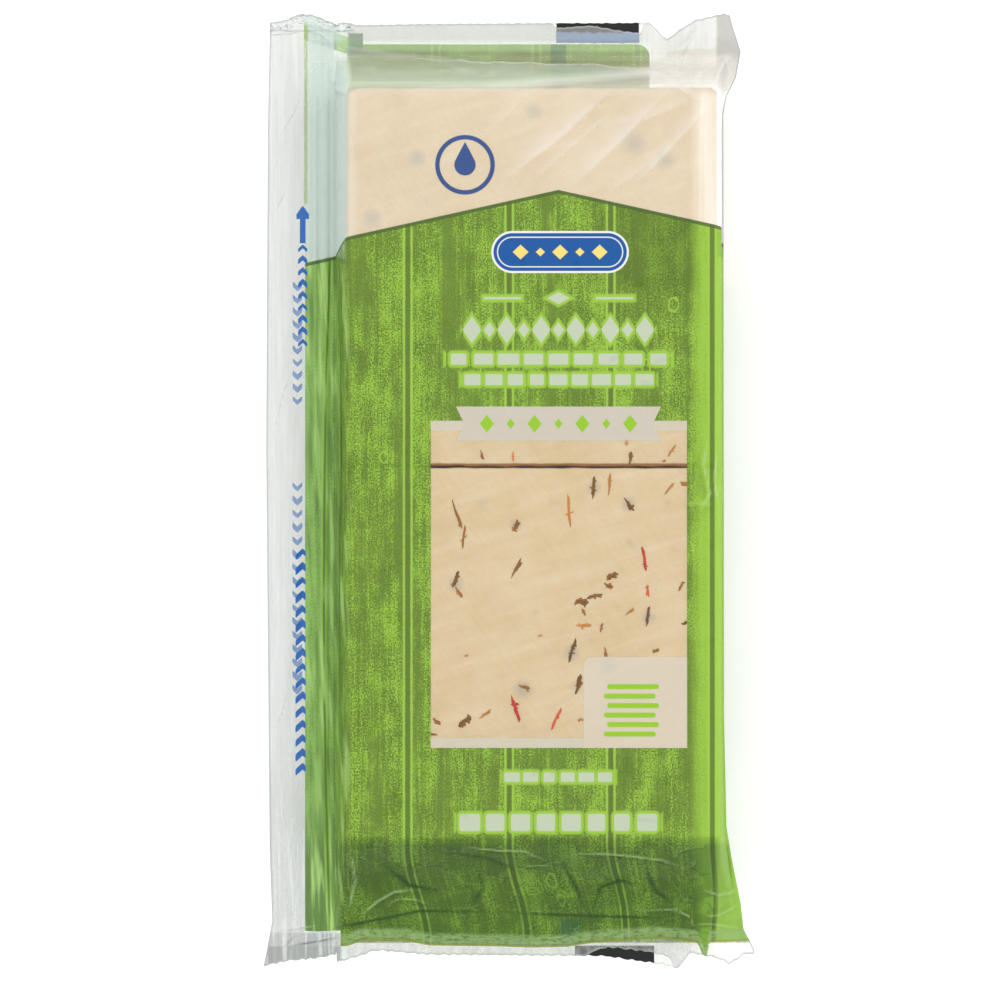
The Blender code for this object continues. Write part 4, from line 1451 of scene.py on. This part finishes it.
class TreeBuilder:
    """A small helper that writes one Geometry Nodes tree."""

    def __init__(self, name: str) -> None:
        """Start a tree with its geometry input and output."""
        self.tree = bpy.data.node_groups.new(name, "GeometryNodeTree")
        self.tree.interface.new_socket("Geometry", in_out="INPUT", socket_type="NodeSocketGeometry")
        self.tree.interface.new_socket("Geometry", in_out="OUTPUT", socket_type="NodeSocketGeometry")
        self.inputs = self.tree.nodes.new("NodeGroupInput")
        self.identifiers: dict[str, str] = {}

    def socket(self, name: str, kind: str) -> bpy.types.NodeSocket:
        """Add a named input and return its socket inside the tree."""
        made = self.tree.interface.new_socket(name, in_out="INPUT", socket_type=kind)
        self.identifiers[name] = made.identifier
        return self.inputs.outputs[name]

    def node(self, kind: str, settings: dict[str, object] | None = None, **inputs: object) -> bpy.types.Node:
        """Add a node, with its settings and its inputs set or linked by name."""
        made = self.tree.nodes.new(kind)
        for name, value in (settings or {}).items():
            setattr(made, name, value)
        for name, value in inputs.items():
            wanted = name.replace("_", " ")
            socket = next(s for s in made.inputs if s.name == wanted and s.enabled)
            if isinstance(value, bpy.types.NodeSocket):
                self.tree.links.new(value, socket)
            else:
                socket.default_value = value
        return made

    def close(self, geometry: bpy.types.NodeSocket, material: bpy.types.NodeSocket) -> None:
        """Realize what was made, dress it and send it out."""
        real = self.node("GeometryNodeRealizeInstances", Geometry=geometry)
        dressed = self.node("GeometryNodeSetMaterial", Geometry=real.outputs[0], Material=material)
        output = self.tree.nodes.new("NodeGroupOutput")
        self.tree.links.new(dressed.outputs[0], output.inputs[0])

    def run(self, host: bpy.types.Object, name: str, values: dict[str, object]) -> bpy.types.Object:
        """Run the tree on a host and return the result as a plain mesh object.

        Args:
            host: The object whose mesh goes in. It is removed.
            name: The new piece's name.
            values: What each named input gets.

        Returns:
            The new piece.
        """
        modifier = host.modifiers.new(name, "NODES")
        modifier.node_group = self.tree
        for label, value in values.items():
            modifier[self.identifiers[label]] = value
        host.update_tag()
        bpy.context.view_layer.update()
        evaluated = host.evaluated_get(bpy.context.evaluated_depsgraph_get())
        mesh = bpy.data.meshes.new_from_object(evaluated)
        host.modifiers.remove(modifier)
        mesh.transform(host.matrix_world)
        bpy.data.objects.remove(host, do_unlink=True)
        mesh.name = name
        return link(name, mesh)


@dataclass
class CheeseStacks:
    """Two stacks of square slices, end to end.

    Attributes:
        sizes: The part's sizes.
        corner: Radius of a slice's corners.
        rim: Radius of its cut rim.
        upper_stretch: How much longer the upper stack's slices are.
    """

    sizes: PackSizes
    corner: float = 3.2
    rim: float = 0.8
    upper_stretch: float = 1.022

    def slice_mesh(self) -> bpy.types.Mesh:
        """One slice: a rounded square slab whose cut rim waves a little."""
        s = self.sizes
        outline = self.outline()
        thick = s.slice_thickness - 0.03
        bend = [math.radians(angle) for angle in (0.0, 22.5, 45.0, 67.5, 90.0)]
        top = [(self.rim * (1.0 - math.cos(a)), thick - self.rim * (1.0 - math.sin(a))) for a in bend]
        profile = [(inset, thick - level) for inset, level in reversed(top)] + top
        rings = [(self.inset(outline, inset), level) for inset, level in profile]
        bm = bmesh.new()
        loops = [[bm.verts.new((x * MM, y * MM, z * MM)) for x, y in ring] for ring, z in rings]
        for low, high in zip(loops, loops[1:]):
            for a, b, c, d in zip(low, low[1:] + low[:1], high[1:] + high[:1], high):
                bm.faces.new((a, b, c, d))
        bm.faces.new(loops[-1])
        bm.faces.new(list(reversed(loops[0])))
        bmesh.ops.triangulate(bm, faces=[f for f in bm.faces if len(f.verts) > 4])
        mesh = bpy.data.meshes.new("slice")
        bm.to_mesh(mesh)
        bm.free()
        mesh.shade_smooth()
        mesh.set_sharp_from_angle(angle=math.radians(40.0))
        return mesh

    def inset(self, outline: list[tuple[float, float]], amount: float) -> list[tuple[float, float]]:
        """The outline drawn in by a small amount on every side."""
        s = self.sizes
        narrower, shorter = 1.0 - 2.0 * amount / s.slice_width, 1.0 - 2.0 * amount / s.slice_length
        return [(x * narrower, y * shorter) for x, y in outline]

    def outline(self) -> list[tuple[float, float]]:
        """The slice's outline, anticlockwise from its right side."""
        s = self.sizes
        half_x, half_y, radius = s.slice_width / 2.0, s.slice_length / 2.0, self.corner
        places = []
        for turn in range(4):
            along_half, out_half = (half_y, half_x) if turn % 2 == 0 else (half_x, half_y)
            run = np.linspace(-along_half + radius, along_half - radius, 46)
            wave = 0.10 * Ripple(7.0, 100 + turn).at(run, 0.0 * run)
            wave = wave + 0.04 * Ripple(1.8, 110 + turn).at(run, 0.0 * run)
            wave = wave * np.minimum(1.0, (along_half - np.abs(run)) / 6.0)
            side = [(out_half - 0.2 + w, t) for t, w in zip(run, wave)]
            for angle in (math.radians(a) for a in (22.5, 45.0, 67.5)):
                out = out_half - 0.2 - radius + radius * math.cos(angle)
                side.append((out, along_half - radius + radius * math.sin(angle)))
            places += [self.turned(point, turn) for point in side]
        return places

    def turned(self, point: tuple[float, float], quarter: int) -> tuple[float, float]:
        """A point turned by quarter turns."""
        x, y = point
        for _ in range(quarter):
            x, y = -y, x
        return x, y

    def tree(self) -> TreeBuilder:
        """The tree that piles one slice into a leaning stack."""
        made = TreeBuilder("slice_stack")
        count = made.socket("Slices", "NodeSocketInt")
        offset = made.socket("Step", "NodeSocketVector")
        jitter = made.socket("Jitter", "NodeSocketVector")
        twist = made.socket("Twist", "NodeSocketVector")
        seed = made.socket("Seed", "NodeSocketInt")
        material = made.socket("Material", "NodeSocketMaterial")
        line = made.node("GeometryNodeMeshLine", {"mode": "OFFSET"}, Count=count, Offset=offset)
        placed = made.node(
            "GeometryNodeInstanceOnPoints", Points=line.outputs[0], Instance=made.inputs.outputs["Geometry"],
            Rotation=self.spread(made, twist, seed),
        )
        moved = made.node(
            "GeometryNodeTranslateInstances", Instances=placed.outputs[0],
            Translation=self.spread(made, jitter, seed),
        )
        made.close(moved.outputs[0], material)
        return made

    def spread(
        self, made: TreeBuilder, reach: bpy.types.NodeSocket, seed: bpy.types.NodeSocket,
    ) -> bpy.types.NodeSocket:
        """A random vector for each slice, as far as reach either way."""
        back = made.node("ShaderNodeVectorMath", {"operation": "SCALE"}, Vector=reach, Scale=-1.0)
        drawn = made.node(
            "FunctionNodeRandomValue", {"data_type": "FLOAT_VECTOR"}, Min=back.outputs[0], Max=reach,
            Seed=seed,
        )
        return drawn.outputs[0]

    def build(self, material: bpy.types.Material) -> None:
        """Make both stacks."""
        s = self.sizes
        middle = (s.cheese_left + s.cheese_right) / 2.0
        lower_end = s.cheese_bottom + s.slice_length / 2.0
        upper_length = s.slice_length * self.upper_stretch
        upper_end = s.cheese_top - upper_length / 2.0
        lean = (upper_end - upper_length / 2.0 - (s.junction - 0.05)) / (s.slices - 1) / self.upper_stretch
        stacks = (
            ("cheese_lower", lower_end, 0.0, 1.0, 4),
            ("cheese_upper", upper_end, -lean, self.upper_stretch, 9),
        )
        for name, y, step_y, longer, seed in stacks:
            host = link("host", self.slice_mesh())
            host.location = (middle * MM, y * MM, s.film_clearance * MM)
            host.scale = (1.0, longer, 1.0)
            values = {
                "Slices": s.slices,
                "Step": (0.0, step_y * MM, s.slice_thickness * MM),
                "Jitter": (0.1 * MM, 0.1 * MM, 0.0),
                "Twist": (0.0, 0.0, 0.0015),
                "Seed": seed,
                "Material": material,
            }
            piece = self.tree().run(host, name, values)
            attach(piece, BODY)
            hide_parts("film_pouch")
            LOG.info("%s has %d faces", name, len(piece.data.polygons))


@dataclass(frozen=True)
class SeenFleck:
    """A fleck of pepper that shows through the window, placed by the photograph.

    Attributes:
        column: Its middle's pixel column.
        row: Its middle's pixel row.
        turn: Direction of its length, in degrees from the pixel row.
        length: Length in millimetres.
        width: Width in millimetres.
        tone: From 0, green-black, to 1, red.
    """

    column: float
    row: float
    turn: float
    length: float
    width: float
    tone: float

    def place(self) -> tuple[float, float]:
        """Its place in the part's frame, in millimetres."""
        return (self.column - PHOTO_MIDDLE[0]) * PHOTO_SCALE, (PHOTO_MIDDLE[1] - self.row) * PHOTO_SCALE


PHOTO_SCALE = 0.244
PHOTO_MIDDLE = (508.5, 490.5)

# Column, row, turn, length, width and tone of each fleck in the window
FLECK_ROWS = (
    (482, 456, -72, 2.6, 0.6, 0.4), (513, 458, 88, 2.0, 0.5, 0.72),
    (456, 513, -72, 6.2, 0.8, 0.42), (464, 538, 84, 4.4, 0.7, 0.46),
    (516, 526, 70, 2.8, 1.5, 0.34), (626, 444, 80, 1.2, 0.7, 0.7),
    (630, 460, 78, 2.6, 1.0, 0.3), (671, 452, 58, 2.6, 0.6, 0.62),
    (663, 462, 30, 1.0, 0.6, 0.5), (593, 489, 84, 4.6, 1.3, 0.28),
    (609, 487, 84, 4.6, 0.7, 0.6), (569, 512, 95, 6.0, 0.8, 0.66),
    (628, 505, -55, 4.2, 1.3, 0.24), (668, 490, 50, 3.0, 0.6, 0.6),
    (436, 721, -45, 2.0, 1.0, 0.4), (465, 722, 40, 3.0, 2.0, 0.26),
    (485, 714, 38, 3.8, 0.7, 0.56), (515, 708, -74, 5.6, 1.5, 0.99),
    (523, 687, -20, 2.4, 0.9, 0.42), (556, 719, 66, 4.4, 0.9, 0.9),
    (580, 602, 10, 3.0, 2.0, 0.3), (583, 612, -70, 1.6, 0.8, 0.48),
    (582, 626, -2, 3.2, 0.9, 0.66), (601, 628, 78, 1.8, 0.6, 0.46),
    (629, 612, 40, 2.8, 0.7, 0.58), (647, 617, 80, 4.0, 1.0, 0.22),
    (683, 624, 10, 1.2, 0.9, 0.2), (572, 651, 74, 4.6, 1.2, 0.2),
    (605, 652, -78, 2.6, 0.7, 0.44), (655, 651, 20, 1.4, 1.2, 0.4),
    (578, 686, 72, 4.2, 1.6, 0.22), (580, 720, 20, 1.0, 0.9, 0.6),
    (516, 569, 62, 5.4, 1.0, 0.36), (456, 580, 70, 3.4, 1.4, 0.26),
    (458, 592, -60, 2.6, 0.9, 0.5), (643, 559, -80, 4.6, 1.0, 0.97),
    (647, 591, -84, 3.2, 0.8, 0.86), (611, 577, 30, 2.4, 1.8, 0.28),
    (607, 586, -30, 2.0, 1.2, 0.36), (594, 597, 15, 3.0, 1.4, 0.34),
    (585, 604, 70, 2.0, 1.2, 0.3), (680, 587, 60, 2.2, 0.8, 0.44),
    (466, 656, 0, 0.8, 0.6, 0.66), (540, 636, 20, 0.8, 0.5, 0.7),
)
SEEN_FLECKS = tuple(SeenFleck(*row) for row in FLECK_ROWS)


class SliverKind(Enum):
    """Forms of pepper: strands as place along, place across and half width, for unit length and width."""

    CURL = ((
        (-0.5, -0.3, 0.10), (-0.36, 0.0, 0.34), (-0.12, 0.35, 0.42), (0.12, 0.3, 0.36), (0.33, 0.0, 0.4),
        (0.5, -0.5, 0.08),
    ),)
    HOOK = ((
        (-0.5, 0.3, 0.08), (-0.3, 0.1, 0.3), (0.0, -0.1, 0.36), (0.25, 0.05, 0.44), (0.4, 0.5, 0.36),
        (0.42, 0.95, 0.1),
    ),)
    CHIP = ((
        (-0.5, 0.1, 0.2), (-0.34, -0.1, 0.48), (-0.1, 0.1, 0.4), (0.1, -0.05, 0.56), (0.36, 0.1, 0.5),
        (0.5, -0.2, 0.2),
    ),)
    SPLIT = (
        ((-0.5, -0.1, 0.08), (-0.25, 0.0, 0.32), (0.05, 0.05, 0.4), (0.3, 0.2, 0.3), (0.5, 0.35, 0.07)),
        ((0.0, 0.0, 0.3), (0.16, -0.4, 0.26), (0.3, -0.95, 0.08)),
    )


@dataclass
class PepperFlecks:
    """Slivers of pepper in the top slices and in the cut sides of the stacks.

    Attributes:
        sizes: The part's sizes.
        hidden: How many are scattered under the print, away from the window and the clear top.
        sides: How many show in the cut sides.
    """

    sizes: PackSizes
    hidden: int = 80
    sides: int = 150

    def sliver(self, kind: SliverKind) -> bpy.types.Object:
        """One crooked sliver of unit length: a flat tube along each of its kind's strands."""
        bm = bmesh.new()
        draw = np.random.default_rng(len(kind.name))
        for strand in kind.value:
            self.strand(bm, strand, draw)
        mesh = bpy.data.meshes.new(kind.name)
        bm.to_mesh(mesh)
        bm.free()
        mesh.shade_smooth()
        return link(kind.name, mesh)

    def strand(
        self, bm: bmesh.types.BMesh, path: tuple[tuple[float, float, float], ...], draw: np.random.Generator,
    ) -> None:
        """Add a closed tube of uneven width along a path.

        Args:
            bm: What it is added to.
            path: Place along and across, and half width, of each turn.
            draw: Gives each tube its unevenness.
        """
        rings = []
        for index, (x, y, half) in enumerate(path):
            before, after = path[max(index - 1, 0)], path[min(index + 1, len(path) - 1)]
            heading = math.atan2(after[1] - before[1], after[0] - before[0])
            ring = []
            for side in range(8):
                angle = math.tau * side / 8
                reach = half * draw.uniform(0.82, 1.18) * math.cos(angle)
                up = 0.5 * min(half / 0.4, 1.0) * math.sin(angle)
                ring.append(bm.verts.new((x - reach * math.sin(heading), y + reach * math.cos(heading), up)))
            rings.append(ring)
        for low, high in zip(rings, rings[1:]):
            for a, b, c, d in zip(low, low[1:] + low[:1], high[1:] + high[:1], high):
                bm.faces.new((a, b, c, d))
        bm.faces.new(list(reversed(rings[0])))
        bm.faces.new(rings[-1])

    def scatter(self) -> list[tuple[Vector, Vector, Vector, float, int]]:
        """Each fleck's place, turn, size, tone and shape."""
        s = self.sizes
        draw, spur = np.random.default_rng(12), np.random.default_rng(5)
        top = s.height - s.film_clearance
        found = []
        for index, fleck in enumerate(SEEN_FLECKS):
            x, y = fleck.place()
            narrow = 0.7 if fleck.width < 1.1 else 0.55
            size = Vector((fleck.length * 0.94, fleck.width * narrow, min(fleck.width, 0.4)))
            turn = math.radians(fleck.turn)
            found.append((Vector((x, y, top)), Vector((0, 0, turn)), size, fleck.tone, index % 4))
            for step in range(3 if fleck.width > 1.1 else 1):
                bend = turn + spur.uniform(0.5, 1.3) * spur.choice((-1.0, 1.0))
                out = spur.uniform(-0.45, 0.45) * fleck.length
                place = Vector((x + out * math.cos(turn), y + out * math.sin(turn), top))
                small = Vector((spur.uniform(0.35, 0.7) * min(fleck.length, 2.4), fleck.width * 0.35, 0.3))
                lighter = min(fleck.tone + 0.12, 1.0)
                found.append((place, Vector((0, 0, bend)), small, lighter, (index + step) % 4))
        seen = len(found)
        while len(found) < seen + self.hidden:
            x = draw.uniform(s.cheese_left + 2.0, s.cheese_right - 2.0)
            y = draw.uniform(s.cheese_bottom + 2.0, s.cheese_top - 5.0)
            in_window = -19.0 < x < 43.5 and -62.7 < y < 20.2
            if in_window or y > 56.0 or abs(y - s.junction) < 1.5:
                continue
            size = Vector((draw.uniform(1.2, 5.0), draw.uniform(0.5, 1.4), 0.3))
            turn = Vector((0, 0, draw.uniform(0, math.pi)))
            found.append((Vector((x, y, top)), turn, size, draw.beta(1.6, 2.6), int(draw.integers(4))))
        for _ in range(self.sides):
            found.append(self.side_fleck(draw))
        return found

    def side_fleck(self, draw: np.random.Generator) -> tuple[Vector, Vector, Vector, float, int]:
        """One fleck cut through at the side of a stack."""
        s = self.sizes
        level = (int(draw.integers(s.slices)) + 0.5) * s.slice_thickness + s.film_clearance
        size = Vector((draw.uniform(1.0, 3.4), draw.uniform(0.5, 1.1), 0.5))
        tone, shape = draw.beta(1.6, 2.6), int(draw.integers(4))
        if draw.uniform() < 0.7:
            x = s.cheese_left + 0.42 if draw.uniform() < 0.5 else s.cheese_right - 0.42
            y = draw.uniform(s.cheese_bottom + 3.0, s.cheese_top - 4.0)
            turn = Vector((0, math.pi / 2, 0))
            return Vector((x, y, level)), turn, Vector((size.y, size.x, size.z)), tone, shape
        x, turn = draw.uniform(s.cheese_left + 3.0, s.cheese_right - 3.0), Vector((math.pi / 2, 0, 0))
        return Vector((x, s.cheese_bottom + 0.4, level)), turn, size, tone, shape

    def host(self) -> bpy.types.Object:
        """A cloud of points that carries each fleck's turn, size, tone and shape."""
        flecks = self.scatter()
        mesh = bpy.data.meshes.new("fleck_points")
        mesh.from_pydata([list(place * MM) for place, *_ in flecks], [], [])
        for name, kind, key, values in (
            ("turn", "FLOAT_VECTOR", "vector", [c for _, turn, *_ in flecks for c in turn]),
            ("size", "FLOAT_VECTOR", "vector", [c for _, _, size, *_ in flecks for c in size * MM]),
            ("tone", "FLOAT", "value", [fleck[3] for fleck in flecks]),
            ("shape", "INT", "value", [fleck[4] for fleck in flecks]),
        ):
            mesh.attributes.new(name, kind, "POINT").data.foreach_set(key, values)
        return link("fleck_points", mesh)

    def tree(self) -> TreeBuilder:
        """The tree that sets a sliver on each point by the point's own attributes."""
        made = TreeBuilder("fleck_scatter")
        kinds = [made.socket(f"Sliver {letter}", "NodeSocketObject") for letter in "ABCD"]
        material = made.socket("Material", "NodeSocketMaterial")
        joined = made.tree.nodes.new("GeometryNodeJoinGeometry")
        for kind in kinds:
            source = made.node("GeometryNodeObjectInfo", Object=kind)
            single = made.node("GeometryNodeGeometryToInstance", Geometry=source.outputs["Geometry"])
            made.tree.links.new(single.outputs[0], joined.inputs[0])
        turn, size, shape = (
            made.node("GeometryNodeInputNamedAttribute", {"data_type": kind}, Name=name).outputs["Attribute"]
            for name, kind in (("turn", "FLOAT_VECTOR"), ("size", "FLOAT_VECTOR"), ("shape", "INT"))
        )
        points = made.node("GeometryNodeMeshToPoints", Mesh=made.inputs.outputs["Geometry"])
        placed = made.node(
            "GeometryNodeInstanceOnPoints", Points=points.outputs[0], Instance=joined.outputs[0],
            Pick_Instance=True, Instance_Index=shape, Rotation=turn, Scale=size,
        )
        made.close(placed.outputs[0], material)
        return made

    def build(self, material: bpy.types.Material) -> None:
        """Make every fleck as one piece."""
        slivers = [self.sliver(kind) for kind in SliverKind]
        values: dict[str, object] = {f"Sliver {letter}": sliver for letter, sliver in zip("ABCD", slivers)}
        values["Material"] = material
        piece = self.tree().run(self.host(), "pepper_flecks", values)
        for sliver in slivers:
            bpy.data.objects.remove(sliver, do_unlink=True)
        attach(piece, BODY)
        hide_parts("film_pouch")
        LOG.info("pepper_flecks has %d faces", len(piece.data.polygons))


@dataclass
class Studio:
    """A pale floor, soft lamps and a camera that looks down on the pack."""

    view: float = 0.244
    lens: float = 400.0
    centre: tuple[float, float, float] = (-0.0021, -0.0023, 0.012)
    elevation: float = 89.0
    sky: float = 0.42
    lights: tuple[tuple[str, tuple[float, ...], tuple[float, float], float, bool], ...] = (
        ("key", (-1.0, 0.8, 1.3), (1.5, 1.5), 15.0, False),
        ("fill", (1.2, 0.2, 1.2), (1.5, 1.5), 16.0, False),
        ("low", (0.1, -1.3, 1.1), (1.6, 1.2), 7.0, False),
        ("strip", (-0.3, 1.0, 0.75), (1.4, 0.07), 2.4, True),
    )

    def floor(self) -> None:
        """A plain pale floor under the pack."""
        bpy.ops.mesh.primitive_plane_add(size=4.0, location=(0.0, 0.0, -0.0002))
        plane = bpy.context.object
        plane.name = "floor"
        plane.visible_glossy = False
        material = bpy.data.materials.new("floor_white")
        material.use_nodes = True
        shader = material.node_tree.nodes["Principled BSDF"]
        shader.inputs["Base Color"].default_value = (0.94, 0.94, 0.94, 1.0)
        shader.inputs["Roughness"].default_value = 0.8
        shader.inputs["Specular IOR Level"].default_value = 0.1
        shader.inputs["Emission Color"].default_value = (1.0, 1.0, 1.0, 1.0)
        shader.inputs["Emission Strength"].default_value = 0.2
        plane.data.materials.append(material)

    def lamp(self, name: str, place: Vector, size: tuple[float, float], power: float, mirrored: bool) -> None:
        """One soft lamp aimed at the pack, mirrored by the film or not."""
        light = bpy.data.lights.new(name, "AREA")
        light.shape = "RECTANGLE"
        light.size, light.size_y = size
        light.energy = power
        holder = bpy.data.objects.new(name, light)
        holder.location = place
        holder.visible_glossy = mirrored
        holder.rotation_euler = (-place).to_track_quat("-Z", "Y").to_euler()
        bpy.context.scene.collection.objects.link(holder)

    def lamps(self) -> None:
        """A soft key from the upper left, fills from the right and below, and an even sky."""
        for name, place, size, power, mirrored in self.lights:
            self.lamp(name, Vector(place), size, power, mirrored)
        world = bpy.data.worlds.new("studio")
        world.use_nodes = True
        sky = world.node_tree.nodes["Background"]
        sky.inputs[0].default_value = (1.0, 1.0, 1.0, 1.0)
        sky.inputs[1].default_value = self.sky
        bpy.context.scene.world = world
        bpy.context.scene.view_settings.view_transform = "Standard"

    def camera(self) -> None:
        """The camera at the photograph's viewing angle."""
        data = bpy.data.cameras.new("camera")
        data.lens = self.lens
        data.sensor_width = 36.0
        distance = self.view * self.lens / data.sensor_width
        holder = bpy.data.objects.new("camera", data)
        tilt = math.radians(self.elevation)
        away = Vector((0.0, -math.cos(tilt), math.sin(tilt))) * distance
        holder.location = Vector(self.centre) + away
        holder.rotation_euler = (math.radians(90.0 - self.elevation), 0.0, 0.0)
        bpy.context.scene.collection.objects.link(holder)
        bpy.context.scene.camera = holder

    def build(self) -> None:
        """Set the whole studio."""
        self.floor()
        self.lamps()
        self.camera()


def dress_zip(frame: dict) -> None:
    """Give the zip strip its own finish."""
    strip = frame["nodes"]["zip_strip"]
    strip.data.materials.clear()
    strip.data.materials.append(ZipFinish().material())


def main() -> None:
    """Build the pack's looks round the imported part."""
    logging.basicConfig(level=logging.INFO)
    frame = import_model()
    sizes = PackSizes()
    form = FilmForm(sizes, Outline())
    FilmSheet("film_front", form, FRONT_COLUMNS, FRONT_ROWS, True).build(FrontPrint().material())
    FilmSheet("film_back", form, BACK_COLUMNS, BACK_ROWS, False).build(BackPrint().material())
    CheeseStacks(sizes).build(CheeseFinish().material())
    PepperFlecks(sizes).build(FleckFinish().material())
    dress_zip(frame)
    Studio().build()


if __name__ == "__main__":
    main()
